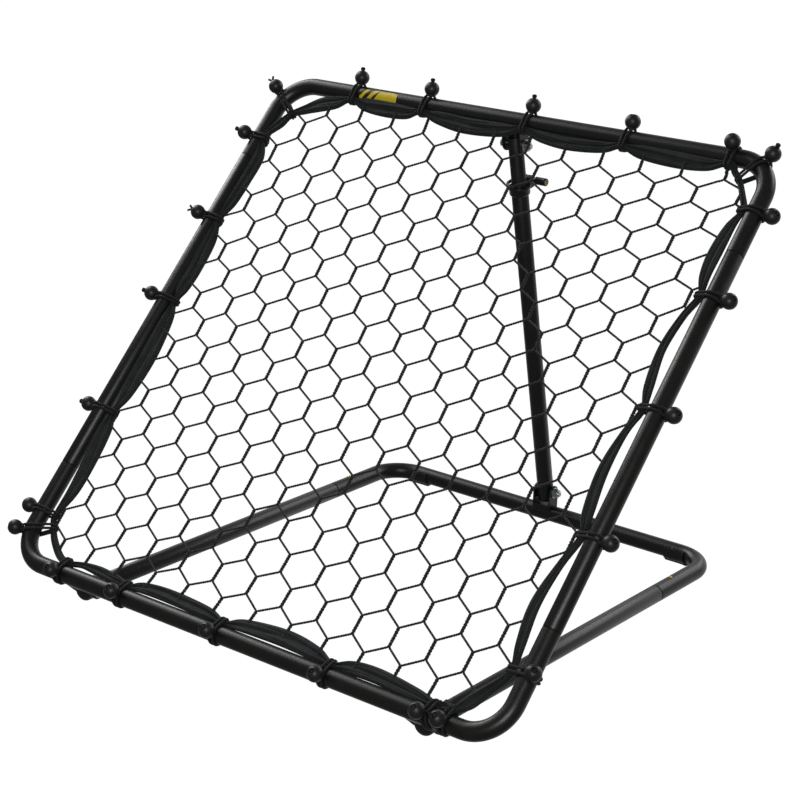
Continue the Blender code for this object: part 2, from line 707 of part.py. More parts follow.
def lever_arm(bm, x, y):
    """A flat arm on an arc about the strut's axis, which is at (x, y) from the pin."""
    rings = []
    for i in range(11):
        angle = math.radians(124 + 161 * i / 10)
        taper = 1.0 - 0.25 * i / 10
        out = Vector((math.cos(angle), math.sin(angle), 0))
        mid = Vector((x, y, 0)) + out * (LEVER_ARC_R + 0.0045 * max(0, 1 - i / 2) ** 2)
        lift = Vector((0, 0, 0.0024 * taper))
        deep = out * 0.0014
        rings.append([bm.verts.new(mid + c) for c in (deep + lift, deep - lift, -deep - lift, -deep + lift)])
    skin_rings(bm, rings)
    bm.faces.new(rings[0])
    bm.faces.new(rings[-1])


def knob(axis, centre):
    """The round clamp nut, turned about the bolt, with its neck against the collar's ear."""
    bore = CLAMP_BOLT_R + GAP
    profile = [(bore, 0.0094), (0.0042, 0.0094), (0.0042, 0.0155), (0.0058, 0.0165),
               (0.0058, 0.0340), (0.0050, 0.0350), (bore, 0.0350)]
    bm = bmesh.new()
    lathe(bm, profile, 16, closed=True)
    solid("clamp_knob", bm, black_plastic(), axis, centre, (0, math.pi / 2, 0))


# ---------------------------------------------------------------- assembly

def build():
    for obj in list(bpy.data.objects):
        bpy.data.objects.remove(obj)
    base_tubes()
    foot_caps()
    rear_feet()
    strut()
    lean = empty("net_frame_lean", (0, BAR_Y, BAR_Z), (-LEAN, 0, 0))
    frame_tubes(lean)
    frame_brackets(lean)
    rebound_net(lean)
    net_band(lean)
    ball_bungees(lean)


build()
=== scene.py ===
"""Pitch back rebounder: the finished surfaces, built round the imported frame.

Metres, +Z up. X runs along the top bar and the net faces -Y. Most of the object lies in the plane of the
net frame, where a point is (x, v, n): across, up along the side tubes from the bottom bar, and out to
the front.
"""
import json
import math

import bmesh
import bpy
import numpy as np
from mathutils import Matrix, Vector


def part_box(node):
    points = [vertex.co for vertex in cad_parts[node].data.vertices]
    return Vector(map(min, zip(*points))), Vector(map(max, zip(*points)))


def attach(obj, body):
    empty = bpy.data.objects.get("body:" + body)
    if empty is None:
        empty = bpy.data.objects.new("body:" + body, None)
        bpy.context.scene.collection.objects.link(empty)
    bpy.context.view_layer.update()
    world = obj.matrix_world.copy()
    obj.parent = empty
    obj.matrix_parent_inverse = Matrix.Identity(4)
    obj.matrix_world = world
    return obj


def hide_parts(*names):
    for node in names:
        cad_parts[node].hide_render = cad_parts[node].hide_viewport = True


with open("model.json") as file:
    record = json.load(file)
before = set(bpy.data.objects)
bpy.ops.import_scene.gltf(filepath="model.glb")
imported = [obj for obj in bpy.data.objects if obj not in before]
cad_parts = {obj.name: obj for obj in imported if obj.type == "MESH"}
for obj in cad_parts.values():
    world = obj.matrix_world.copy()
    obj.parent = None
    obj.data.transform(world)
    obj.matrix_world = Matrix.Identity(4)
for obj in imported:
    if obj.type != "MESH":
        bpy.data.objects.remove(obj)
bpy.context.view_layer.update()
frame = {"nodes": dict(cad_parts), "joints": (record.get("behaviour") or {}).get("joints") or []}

X = Vector((1, 0, 0))
UP_Z = Vector((0, 0, 1))

# Tubes
WALL = 0.0012
SWAGE_R = 0.0110
BEND_R = 0.052
LIP = 0.0005
TUBE_SIDES = 48
BELT_STEP = math.radians(7)
BEND_STEPS = 20
FRAME_SWAGE = 0.040
BASE_SWAGE = 0.064
FRAME_SEAM_GAP = 0.0009
BASE_SEAM_GAP = 0.0015

# Strut, measured along its axis from the lower bolt
STRUT_TAIL = 0.014
STRUT_UPPER_FROM = 0.150
STRUT_UPPER_TAIL = 0.012

# Base fittings
CAP_NOSE = 0.009
RIVET_X = 0.241
RIVET_ANGLE = math.radians(155)

# Fasteners
BOLT_R = 0.0040
WASHER_R = 0.0085
WASHER_T = 0.0016
HEX_FLAT = 0.0130
HEAD_T = 0.0053
NUT_T = 0.0065
THREAD_PITCH = 0.00125

# Strut clamp, heights from the clamp bolt
COLLAR_TOP = -0.0095
SLIM_R = 0.0110
CLAMP_BOLT_R = 0.0024
LEVER_ARC_R = 0.0172

# Ties
CORD_R = 0.0019
BALL_R = 0.0110
BALL_REACH = 0.0250

# Net
NET_CORD_R = 0.00156
TWIST_R = 0.00128
LEG_TURNS = 3.5
NET_STEP = 0.0009

TIE_ANGLES = {
    "top": (29, 29, 27, 27, 66),
    "bottom": (76, 84, 78, 74, 82),
    "left": (12, 12, 24, 35, 35),
    "right": (2, 10, 10, 14, 54),
}


# ---------------------------------------------------------------- places read from the frame

def joint_at(name):
    return Vector(next(j for j in frame["joints"] if j["name"] == name)["pos_m"])


def middle(node):
    low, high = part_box(node)
    return (low + high) / 2


tube_low, tube_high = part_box("frame_left_tube")
TUBE_R = (tube_high.x - tube_low.x) / 2
HALF = -(tube_low.x + tube_high.x) / 2
bottom_low, bottom_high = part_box("frame_bottom_bend")
top_low, top_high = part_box("frame_top_bend")
BOTTOM = Vector((0, bottom_low.y + TUBE_R, bottom_low.z + TUBE_R))
TOP = Vector((0, top_high.y - TUBE_R, top_high.z - TUBE_R))
UP = (TOP - BOTTOM).normalized()
FRONT = X.cross(UP)
SIDE = (TOP - BOTTOM).length
LOWER_SEAM = (bottom_high.z - BOTTOM.z - TUBE_R * FRONT.z) / UP.z
UPPER_SEAM = SIDE - (TOP.z - top_low.z - TUBE_R * FRONT.z) / UP.z

bend_low, bend_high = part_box("base_rear_bend")
BASE_Z = bend_low.z + TUBE_R
BASE_HALF = bend_high.x - TUBE_R
REAR_Y = bend_high.y - TUBE_R
BASE_SEAM_Y = bend_low.y
PIVOT = joint_at("frame_tilt")
FOOT_R = BASE_Z

STRUT_LOW = joint_at("strut_swing")
STRUT_HIGH = Vector((0, *middle("top_strut_nut").yz))
STRUT_UP = (STRUT_HIGH - STRUT_LOW).normalized()
STRUT_BACK = STRUT_UP.cross(X)
STRUT_LENGTH = (STRUT_HIGH - STRUT_LOW).length
CLAMP = joint_at("clamp_knob_turn")
CLAMP_AT = (CLAMP - STRUT_LOW).dot(STRUT_UP)
CLAMP_BACK = (CLAMP - STRUT_LOW).dot(STRUT_BACK)
LEVER_X = joint_at("clamp_lever_turn").x


def on_frame(x, v, n=0.0):
    return BOTTOM + X * x + UP * v + FRONT * n


def on_strut(x, back, along):
    return STRUT_LOW + X * x + STRUT_BACK * back + STRUT_UP * along


# ---------------------------------------------------------------- materials

def node_material(name, colour, roughness, metallic=0.0):
    made = bpy.data.materials.new(name)
    made.use_nodes = True
    shader = made.node_tree.nodes["Principled BSDF"]
    shader.inputs["Base Color"].default_value = (*colour, 1.0)
    shader.inputs["Roughness"].default_value = roughness
    shader.inputs["Metallic"].default_value = metallic
    return made, made.node_tree, shader


def add(tree, kind, **settings):
    made = tree.nodes.new("ShaderNode" + kind)
    for key, value in settings.items():
        if key in made.inputs:
            made.inputs[key].default_value = value
        else:
            setattr(made, key, value)
    return made


def object_noise(tree, scale, detail=4.0):
    """Noise in the object's own metres."""
    place = add(tree, "TexCoord")
    noise = add(tree, "TexNoise", Scale=scale, Detail=detail)
    tree.links.new(place.outputs["Object"], noise.inputs["Vector"])
    return noise.outputs["Fac"]


def spread(tree, source, low, high, start=0.3, end=0.7):
    """A value between low and high that follows a source."""
    ramp = add(tree, "MapRange")
    for key, value in (("From Min", start), ("From Max", end), ("To Min", low), ("To Max", high)):
        ramp.inputs[key].default_value = value
    tree.links.new(source, ramp.inputs["Value"])
    return ramp.outputs["Result"]


def tint(tree, shader, source, low, high):
    """A base colour between low and high that follows a source."""
    ramp = add(tree, "ValToRGB")
    ramp.color_ramp.elements[0].position = 0.3
    ramp.color_ramp.elements[1].position = 0.7
    ramp.color_ramp.elements[0].color = (*low, 1.0)
    ramp.color_ramp.elements[1].color = (*high, 1.0)
    tree.links.new(source, ramp.inputs["Fac"])
    tree.links.new(ramp.outputs["Color"], shader.inputs["Base Color"])


def gloss(tree, shader, scale, low, high):
    """A roughness that wanders between low and high."""
    tree.links.new(spread(tree, object_noise(tree, scale), low, high), shader.inputs["Roughness"])


def bump(tree, shader, source, distance, strength=1.0):
    made = add(tree, "Bump", Strength=strength, Distance=distance)
    tree.links.new(source, made.inputs["Height"])
    previous = shader.inputs["Normal"].links
    if previous:
        tree.links.new(previous[0].from_socket, made.inputs["Normal"])
    tree.links.new(made.outputs["Normal"], shader.inputs["Normal"])


def powder_coat():
    """Satin black powder coat: a fine orange peel, with slightly uneven gloss."""
    made, tree, shader = node_material("powder_coat", (0.010, 0.010, 0.0105), 0.34)
    cloud = object_noise(tree, 60.0)
    tint(tree, shader, cloud, (0.0085, 0.0083, 0.0076), (0.0130, 0.0127, 0.0118))
    gloss(tree, shader, 240.0, 0.33, 0.39)
    bump(tree, shader, object_noise(tree, 1500.0, 2.0), 0.00002, 0.5)
    return made


def moulded_plastic(name, roughness, grain, colour=0.010):
    made, tree, shader = node_material(name, (colour,) * 3, roughness)
    cloud = object_noise(tree, 120.0)
    low, high = (colour * 0.8,) * 3, (colour * 1.3,) * 3
    tint(tree, shader, cloud, low, high)
    gloss(tree, shader, 500.0, roughness - 0.05, roughness + 0.06)
    bump(tree, shader, object_noise(tree, 2600.0, 2.0), grain)
    return made


def plated_metal(name, low, high, roughness):
    made, tree, shader = node_material(name, high, roughness, 1.0)
    cloud = object_noise(tree, 420.0)
    tint(tree, shader, cloud, low, high)
    gloss(tree, shader, 900.0, roughness - 0.07, roughness + 0.10)
    bump(tree, shader, object_noise(tree, 3000.0, 2.0), 0.00003)
    return made


def run_wave(tree, across, along, turn, distortion=0.6):
    """Bands across a UV run, whose u is metres along and v is turns round (or metres across)."""
    place = add(tree, "UVMap", uv_map="Run")
    fit = add(tree, "Mapping")
    fit.inputs["Scale"].default_value = (along, across, 1)
    fit.inputs["Rotation"].default_value = (0, 0, turn)
    wave = add(tree, "TexWave", Scale=1.0, Distortion=distortion, Detail=1.0)
    tree.links.new(place.outputs["UV"], fit.inputs["Vector"])
    tree.links.new(fit.outputs["Vector"], wave.inputs["Vector"])
    return wave.outputs["Fac"]


def multiply(tree, a, b):
    made = add(tree, "Math", operation="MULTIPLY")
    tree.links.new(a, made.inputs[0])
    tree.links.new(b, made.inputs[1])
    return made.outputs["Value"]


def twisted_cord():
    """Dark polyethylene net cord, whose filaments run round it."""
    made, tree, shader = node_material("twisted_cord", (0.012, 0.0115, 0.011), 0.62)
    filaments = run_wave(tree, 3.0, 420.0, 0.35)
    tint(tree, shader, filaments, (0.006, 0.006, 0.0055), (0.019, 0.018, 0.017))
    gloss(tree, shader, 900.0, 0.54, 0.72)
    bump(tree, shader, filaments, 0.00015)
    shader.inputs["Sheen Weight"].default_value = 0.08
    return made


def braided_elastic():
    """The elastic's braided cover: two sets of yarns that cross."""
    made, tree, shader = node_material("braided_elastic", (0.008, 0.008, 0.008), 0.72)
    braid = multiply(tree, run_wave(tree, 5.0, 330.0, 0.5), run_wave(tree, 5.0, 330.0, -0.5))
    tint(tree, shader, braid, (0.004, 0.004, 0.004), (0.016, 0.016, 0.016))
    gloss(tree, shader, 1200.0, 0.62, 0.80)
    bump(tree, shader, braid, 0.0002)
    shader.inputs["Sheen Weight"].default_value = 0.05
    return made


def band_cloth():
    """Woven polyester, dark with a cool tint, with a plain weave and soft wrinkles."""
    made, tree, shader = node_material("band_cloth", (0.011, 0.0145, 0.0155), 0.78)
    cloud = object_noise(tree, 55.0)
    tint(tree, shader, cloud, (0.0060, 0.0085, 0.0090), (0.0150, 0.0190, 0.0200))
    weave = multiply(tree, run_wave(tree, 0.0, 1400.0, 0.0, 0.2), run_wave(tree, 1400.0, 0.0, 0.0, 0.2))
    gloss(tree, shader, 700.0, 0.70, 0.86)
    bump(tree, shader, object_noise(tree, 260.0, 3.0), 0.0005, 0.5)
    bump(tree, shader, weave, 0.00012)
    shader.inputs["Sheen Weight"].default_value = 0.10
    shader.inputs["Sheen Roughness"].default_value = 0.45
    shader.inputs["Sheen Tint"].default_value = (0.75, 0.95, 1.0, 1.0)
    return made


def label_print():
    """A yellow label with plain slanted stripes that fade out along it."""
    made, tree, shader = node_material("label_print", (0.80, 0.62, 0.015), 0.38)
    place = add(tree, "UVMap", uv_map="Run")
    split = add(tree, "SeparateXYZ")
    tree.links.new(place.outputs["UV"], split.inputs["Vector"])
    stripes = run_wave(tree, 30.0, 26.0, 0.6, 0.0)
    fade = spread(tree, split.outputs["X"], 1.0, 0.0, 0.012, 0.052)
    ink = add(tree, "Math", operation="GREATER_THAN")
    ink.inputs[1].default_value = 0.42
    tree.links.new(multiply(tree, stripes, fade), ink.inputs[0])
    mix = add(tree, "Mix", data_type="RGBA")
    mix.inputs["A"].default_value = (0.82, 0.63, 0.012, 1.0)
    mix.inputs["B"].default_value = (0.02, 0.018, 0.01, 1.0)
    tree.links.new(ink.outputs["Value"], mix.inputs["Factor"])
    tree.links.new(mix.outputs["Result"], shader.inputs["Base Color"])
    gloss(tree, shader, 300.0, 0.33, 0.43)
    bump(tree, shader, object_noise(tree, 1400.0), 0.00002)
    return made


COAT = powder_coat()
BALL_PLASTIC = moulded_plastic("ball_plastic", 0.40, 0.00003, 0.016)
CAP_PLASTIC = moulded_plastic("cap_plastic", 0.46, 0.00008)
CLAMP_PLASTIC = moulded_plastic("clamp_plastic", 0.30, 0.00004)
ZINC = plated_metal("zinc_plate", (0.42, 0.46, 0.47), (0.66, 0.71, 0.72), 0.30)
BRASS = plated_metal("brass_metal", (0.50, 0.36, 0.13), (0.80, 0.62, 0.28), 0.28)
NET_CORD = twisted_cord()
ELASTIC = braided_elastic()
CLOTH = band_cloth()
LABEL = label_print()


# ---------------------------------------------------------------- mesh tools

def linked(name, data):
    """A new object in the scene."""
    made = bpy.data.objects.new(name, data)
    bpy.context.scene.collection.objects.link(made)
    return made


def finished(obj, finish, body, nodes=()):
    """Gives a new piece its material and body, and hides the nodes that it stands for."""
    obj.data.materials.clear()
    obj.data.materials.append(finish)
    for node in nodes:
        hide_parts(node)
    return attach(obj, body)


def surface(name, rings, closed=False, uvs=None):
    """A mesh of rings (count, sides, 3). closed joins the last ring to the first; else the ends are filled."""
    rings = np.asarray(rings, float)
    count, sides = rings.shape[:2]
    grid = np.arange(count * sides).reshape(count, sides)
    after = np.roll(grid, -1, axis=1)
    last = count if closed else count - 1
    up = np.roll(grid, -1, axis=0)
    up_after = np.roll(after, -1, axis=0)
    quads = np.stack([grid, after, up_after, up], axis=2)[:last].reshape(-1, 4)
    faces = [tuple(int(i) for i in q) for q in quads]
    if not closed:
        faces.append(tuple(int(i) for i in reversed(grid[0])))
        faces.append(tuple(int(i) for i in grid[-1]))
    mesh = bpy.data.meshes.new(name)
    mesh.from_pydata(rings.reshape(-1, 3).tolist(), [], faces)
    if uvs is not None:
        write_run(mesh, uvs, sides, last)
    mesh.shade_smooth()
    mesh.set_sharp_from_angle(angle=math.radians(42))
    return linked(name, mesh)


def write_run(mesh, uvs, sides, last):
    """The UV layer Run, from the values along (a ring's each) and across (sides + 1 of them)."""
    along, across = uvs
    layer = mesh.uv_layers.new(name="Run")
    values = np.zeros((len(mesh.loops), 2), np.float32)
    row, column = np.divmod(np.arange(last * sides), sides)
    u = np.stack([along[row], along[row], along[row + 1], along[row + 1]], axis=1)
    v = np.stack([across[column], across[column + 1], across[column + 1], across[column]], axis=1)
    values[:last * sides * 4, 0] = u.ravel()
    values[:last * sides * 4, 1] = v.ravel()
    layer.data.foreach_set("uv", values.ravel())


def joined(name, parts):
    """Several new objects as one mesh object."""
    for obj in bpy.context.selected_objects:
        obj.select_set(False)
    for obj in parts:
        obj.select_set(True)
    bpy.context.view_layer.objects.active = parts[0]
    bpy.ops.object.join()
    parts[0].name = name
    parts[0].data.name = name
    return parts[0]


def frames_along(points, first=None, closed=False):
    """Tangents and two cross directions that don't twist, along a path."""
    points = np.asarray(points, float)
    if closed:
        step = np.roll(points, -1, axis=0) - np.roll(points, 1, axis=0)
    else:
        step = np.gradient(points, axis=0)
    tangent = step / np.linalg.norm(step, axis=1)[:, None]
    helper = np.array(first if first is not None else (0.0, 0.0, 1.0))
    if abs(helper @ tangent[0]) > 0.95:
        helper = np.array((1.0, 0.0, 0.0))
    normals = np.empty_like(points)
    current = helper
    for i, t in enumerate(tangent):
        current = current - (current @ t) * t
        current = current / np.linalg.norm(current)
        normals[i] = current
    return tangent, normals, np.cross(tangent, normals)


def lengths(points, closed=False):
    points = np.asarray(points, float)
    ends = np.vstack([points, points[:1]]) if closed else points
    return np.concatenate([[0.0], np.cumsum(np.linalg.norm(np.diff(ends, axis=0), axis=1))])


def sweep(name, points, radius, sides, closed=False, first=None, squeeze=0.0, twist=0.0):
    """A rod along a path. squeeze makes its section oval and twist turns it, in radians a metre."""
    points = np.asarray(points, float)
    _, one, two = frames_along(points, first, closed)
    run = lengths(points, closed)
    radii = np.broadcast_to(np.asarray(radius, float), (len(points),))
    angle = np.linspace(0, 2 * math.pi, sides, endpoint=False)
    a = np.cos(angle) * (1 + squeeze)
    b = np.sin(angle) * (1 - squeeze)
    turn = twist * run[:len(points), None]
    c, s = a * np.cos(turn) - b * np.sin(turn), a * np.sin(turn) + b * np.cos(turn)
    reach = c[..., None] * one[:, None] + s[..., None] * two[:, None]
    rings = points[:, None] + radii[:, None, None] * reach
    along = run if closed else np.append(run, run[-1])
    return surface(name, rings, closed, uvs=(along, np.linspace(0, 1, sides + 1)))


def turned(name, profile, centre, axis, sides=TUBE_SIDES, closed=False):
    """Turns (radius, distance) points about an axis. A radius of 0 at an open end closes it to a point.

    A third value in a point is a function that changes its radius by angle.
    """
    axis = Vector(axis).normalized()
    helper = X if abs(axis.x) < 0.9 else UP_Z
    one = axis.cross(helper).normalized()
    two = axis.cross(one)
    angles = [2 * math.pi * i / sides for i in range(sides)]
    rings = []
    for radius, at, *shape in profile:
        radii = [max(shape[0](radius, a) if shape else radius, 1e-5) for a in angles]
        rings.append([centre + axis * at + (one * math.cos(a) + two * math.sin(a)) * r
                      for a, r in zip(angles, radii)])
    made = surface(name, rings, closed)
    if not closed:
        tidy_normals(made, weld=3e-5)
    return made


def tidy_normals(obj, weld=0.0):
    """Turns every face outward, after closing the poles of a turned piece where weld is set."""
    bm = bmesh.new()
    bm.from_mesh(obj.data)
    if weld:
        bmesh.ops.remove_doubles(bm, verts=bm.verts, dist=weld)
    bmesh.ops.recalc_face_normals(bm, faces=bm.faces)
    bm.to_mesh(obj.data)
    bm.free()


def arc(centre, radius, start, end, steps):
    angles = (math.radians(start + (end - start) * i / steps) for i in range(steps + 1))
    return [(centre[0] + radius * math.cos(a), centre[1] + radius * math.sin(a)) for a in angles]


def rounded(low, high, radius, steps=4):
    """A rectangle with round corners, as points in two dimensions."""
    (a, b), (c, d) = low, high
    corners = (((c - radius, b + radius), -90), ((c - radius, d - radius), 0),
               ((a + radius, d - radius), 90), ((a + radius, b + radius), 180))
    return [p for centre, start in corners for p in arc(centre, radius, start, start + 90, steps)]


def softened(obj, width):
    """Bevels the sharp edges of a piece."""
    step = obj.modifiers.new("edges", "BEVEL")
    step.width = width
    step.segments = 2
    step.limit_method = "ANGLE"
    step.angle_limit = math.radians(35)
    return obj


# ---------------------------------------------------------------- tubes

def bend_line(corners, radius):
    """Points along straight runs joined by round corners."""
    points = [corners[0]]
    for before, corner, after in zip(corners, corners[1:], corners[2:]):
        enter = (before - corner).normalized()
        leave = (after - corner).normalized()
        centre = corner + (enter + leave) * radius
        for i in range(BEND_STEPS + 1):
            a = math.pi / 2 * i / BEND_STEPS
            points.append(centre - leave * radius * math.cos(a) - enter * radius * math.sin(a))
    points.append(corners[-1])
    return points


def bent_tube(name, corners, side, body):
    """A tube with a wall along a bent line, with rounded lips at its ends."""
    line = bend_line(corners, BEND_R)
    lip = (line[1] - line[0]).normalized() * LIP
    tail = (line[-1] - line[-2]).normalized() * LIP
    path = [line[0], line[0] + lip] + line[1:-1] + [line[-1] - tail, line[-1]]
    outer = [TUBE_R - LIP] + [TUBE_R] * (len(path) - 2) + [TUBE_R - LIP]
    bore = TUBE_R - WALL
    points = path + path[::-1]
    radii = outer + [bore] * len(path)
    tangent = []
    for i, p in enumerate(path):
        step = path[min(i + 1, len(path) - 1)] - path[max(i - 1, 0)]
        if 1 < i < len(path) - 2:
            step = (path[i + 1] - p).normalized() + (p - path[i - 1]).normalized()
        tangent.append(step.normalized())
    tangent += tangent[::-1]
    angles = [2 * math.pi * i / TUBE_SIDES for i in range(TUBE_SIDES)]
    rings = [[p + (side * math.sin(a) + side.cross(t) * math.cos(a)) * r for a in angles]
             for p, t, r in zip(points, tangent, radii)]
    made = surface(name, rings, closed=True)
    tidy_normals(made)
    return finished(made, COAT, body, (name,))


def straight_tube(name, low, high, body, swage_low=0.0, swage_high=0.0, radius=TUBE_R):
    """A straight tube, drawn down at a swaged end so that it slides into the next tube."""
    length = (high - low).length
    bore = radius - WALL
    outer = []
    inner = []
    if swage_low:
        outer += [(SWAGE_R - LIP, -swage_low), (SWAGE_R, -swage_low + LIP), (SWAGE_R, 0.0)]
        inner += [(SWAGE_R - WALL, 0.0), (SWAGE_R - WALL, -swage_low)]
    outer += [(radius - LIP, 0.0), (radius - LIP / 3, LIP / 3), (radius, LIP)]
    outer += [(radius, length - LIP), (radius - LIP / 3, length - LIP / 3), (radius - LIP, length)]
    inner = [(bore, length - 0.002), (bore, 0.002)] + inner
    if swage_high:
        outer += [(SWAGE_R, length), (SWAGE_R, length + swage_high - LIP)]
        outer += [(SWAGE_R - LIP, length + swage_high)]
        inner = [(SWAGE_R - WALL, length + swage_high), (SWAGE_R - WALL, length)] + inner
    made = turned(name, outer + inner, low, high - low, closed=True)
    tidy_normals(made)
    return finished(made, COAT, body, (name,))


def frame_tubes():
    for name, seam, bar in (("frame_top_bend", UPPER_SEAM, SIDE), ("frame_bottom_bend", LOWER_SEAM, 0)):
        corners = [on_frame(HALF, seam), on_frame(HALF, bar), on_frame(-HALF, bar), on_frame(-HALF, seam)]
        bent_tube(name, corners, FRONT, "net_frame")
    for name, x in (("frame_left_tube", -HALF), ("frame_right_tube", HALF)):
        ends = on_frame(x, LOWER_SEAM + FRAME_SEAM_GAP), on_frame(x, UPPER_SEAM - FRAME_SEAM_GAP)
        straight_tube(name, *ends, "net_frame", FRAME_SWAGE, FRAME_SWAGE)


def base_tubes():
    corners = [(BASE_HALF, BASE_SEAM_Y), (BASE_HALF, REAR_Y), (-BASE_HALF, REAR_Y), (-BASE_HALF, BASE_SEAM_Y)]
    bent_tube("base_rear_bend", [Vector((x, y, BASE_Z)) for x, y in corners], UP_Z, "base")
    for side, x in (("left", -BASE_HALF), ("right", BASE_HALF)):
        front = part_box(f"base_{side}_tube")[0].y
        low, high = Vector((x, front, BASE_Z)), Vector((x, BASE_SEAM_Y - BASE_SEAM_GAP, BASE_Z))
        straight_tube(f"base_{side}_tube", low, high, "base", 0.0, BASE_SWAGE)


# ---------------------------------------------------------------- fasteners

def hexagon(radius, angle):
    """The reach of a hexagon whose flats are HEX_FLAT apart, or the radius where that is less."""
    turn = (angle + math.pi / 6) % (math.pi / 3) - math.pi / 6
    return min(radius, HEX_FLAT / 2 / math.cos(turn))


def hex_profile(start, end):
    """A hexagon with chamfered corners, from its seat to its outer face."""
    sign = 1 if end > start else -1
    tip = HEX_FLAT / 2
    steps = [(tip * 1.16, start, hexagon), (tip * 1.16, end - sign * 0.0011, hexagon)]
    steps += [(tip * 1.10, end - sign * 0.0007, hexagon), (tip * 1.04, end - sign * 0.0003, hexagon)]
    return steps + [(tip * 0.96, end, hexagon)]


def bolt_set(prefix, bracket, at, body):
    """A hex bolt, its nut and two washers across a bracket, along X."""
    face = (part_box(bracket)[1].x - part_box(bracket)[0].x) / 2 + 0.0003
    seat = face + WASHER_T
    end = seat + NUT_T + 0.003
    head = hex_profile(-seat, -seat - HEAD_T)
    profile = [(0, -seat - HEAD_T)] + head[::-1] + [(BOLT_R, -seat), (BOLT_R, seat)]
    pitch = THREAD_PITCH
    threads = round((end - 0.0006 - seat) / (pitch / 2))
    for i in range(threads):
        profile.append((BOLT_R - 0.0004 * (i % 2), seat + pitch / 2 * i))
    profile += [(BOLT_R - 0.0006, end), (0, end)]
    bolt = turned(prefix + "_bolt", profile, at, X, 36)
    finished(bolt, ZINC, body, (prefix + "_bolt",))
    nut = hex_profile(seat, seat + NUT_T)
    nut = [(BOLT_R + 0.0001, seat)] + nut + [(BOLT_R + 0.0001, seat + NUT_T)]
    finished(turned(prefix + "_nut", nut, at, X, 36, closed=True), ZINC, body, (prefix + "_nut",))
    for side, sign in (("left", -1), ("right", 1)):
        edge = 0.0003
        ring = [(BOLT_R + 0.0003, face), (WASHER_R - edge, face), (WASHER_R, face + edge),
                (WASHER_R, seat - edge), (WASHER_R - edge, seat), (BOLT_R + 0.0003, seat)]
        washer = turned(f"{prefix}_{side}_washer", ring, at, X * sign, 40, closed=True)
        tidy_normals(washer)
        finished(washer, ZINC, body)


def brackets():
    """The folded brackets keep their own shape, with their edges rounded off."""
    for name in ("left_pivot_bracket", "right_pivot_bracket", "top_strut_bracket", "rear_strut_bracket"):
        node = frame["nodes"][name]
        node.data.materials.clear()
        node.data.materials.append(COAT)
        weld = node.modifiers.new("weld", "WELD")
        weld.merge_threshold = 1e-5
        softened(node, 0.0005)
    for name in ("left", "right"):
        bolt_set(f"{name}_pivot", f"{name}_pivot_bracket", middle(f"{name}_pivot_bracket").x * X
                 + Vector((0, PIVOT.y, PIVOT.z)), "net_frame")
    bolt_set("top_strut", "top_strut_bracket", STRUT_HIGH, "net_frame")
    bolt_set("rear_strut", "rear_strut_bracket", STRUT_LOW, "base")


# ---------------------------------------------------------------- base fittings

def foot_caps():
    nose = CAP_NOSE
    for side, x in (("left", -BASE_HALF), ("right", BASE_HALF)):
        low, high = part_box(f"base_{side}_foot_cap")
        start = low.y + nose
        profile = [(0, low.y)]
        profile += [(FOOT_R * math.sin(a), start - nose * math.cos(a))
                    for a in (math.radians(d) for d in range(15, 91, 5))]
        profile += [(FOOT_R, high.y - 0.0035), (FOOT_R + 0.0004, high.y - 0.003)]
        profile += [(FOOT_R + 0.0004, high.y - 0.0006), (FOOT_R, high.y), (TUBE_R + 0.0002, high.y)]
        profile += [(TUBE_R + 0.0002, start), (0, start)]
        cap = turned(f"base_{side}_foot_cap", profile, Vector((x, 0, BASE_Z)), Vector((0, 1, 0)))
        finished(cap, CAP_PLASTIC, "base", (f"base_{side}_foot_cap",))


def rear_feet():
    """Saddle pads under the ends of the rear bar, which run round the first part of each corner."""
    inner = TUBE_R + 0.0002
    flat = FOOT_R * math.sin(math.radians(28))
    shell = arc((0, 0), FOOT_R, 142, 242, 14) + [(-flat, -FOOT_R), (flat, -FOOT_R)]
    shell += arc((0, 0), FOOT_R, 298, 374, 12) + arc((0, 0), inner, 376, 140, 36)
    for side, sign in (("left", -1), ("right", 1)):
        low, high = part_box(f"rear_foot_{side}")
        start = min(abs(low.x), abs(high.x))
        centre = Vector((sign * (BASE_HALF - BEND_R), REAR_Y - BEND_R, BASE_Z))
        run = centre.x * sign - start
        stops = [(Vector((sign * (start + run * i / 4), REAR_Y, BASE_Z)), Vector((0, 1, 0)))
                 for i in range(4)]
        for i in range(7):
            a = math.radians(18 * i / 6)
            out = Vector((sign * math.sin(a), math.cos(a), 0))
            stops.append((centre + out * BEND_R, out))
        rings = [[p + back * a + UP_Z * b for a, b in shell] for p, back in stops]
        pad = surface(f"rear_foot_{side}", rings)
        tidy_normals(pad)
        softened(pad, 0.0003)
        finished(pad, CAP_PLASTIC, "base", (f"rear_foot_{side}",))
        angle = RIVET_ANGLE
        out = Vector((0, math.cos(angle), math.sin(angle)))
        head = [(0.0030, 0.0), (0.0033, 0.0002), (0.0030, 0.0006), (0.0018, 0.0009), (0, 0.0010)]
        rivet = turned(f"rear_foot_rivet_{side}", [(0, -0.001), (0.0030, -0.001)] + head,
                       Vector((sign * RIVET_X, REAR_Y, BASE_Z)) + out * FOOT_R, out, 24)
        finished(rivet, COAT, "base")


def snap_buttons():
    for side in ("left", "right"):
        low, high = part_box(f"{side}_snap_button")
        centre = (low + high) / 2
        centre.z = 0
        top, foot, r = high.z, low.z, 0.0030
        profile = [(0, foot), (0.0044, foot), (0.0044, foot + 0.0011), (r, foot + 0.0012), (r, top - 0.0019)]
        profile += [(r * math.cos(a), top - 0.0019 + 0.0019 * math.sin(a))
                    for a in (math.radians(d) for d in (15, 30, 45, 60, 75))] + [(0, top)]
        button = turned(f"{side}_snap_button", profile, centre, UP_Z, 28)
        finished(button, BRASS, f"{side}_button", (f"{side}_snap_button",))
        spring = frame["nodes"][f"{side}_button_spring"]
        spring.data.materials.clear()
        spring.data.materials.append(ZINC)


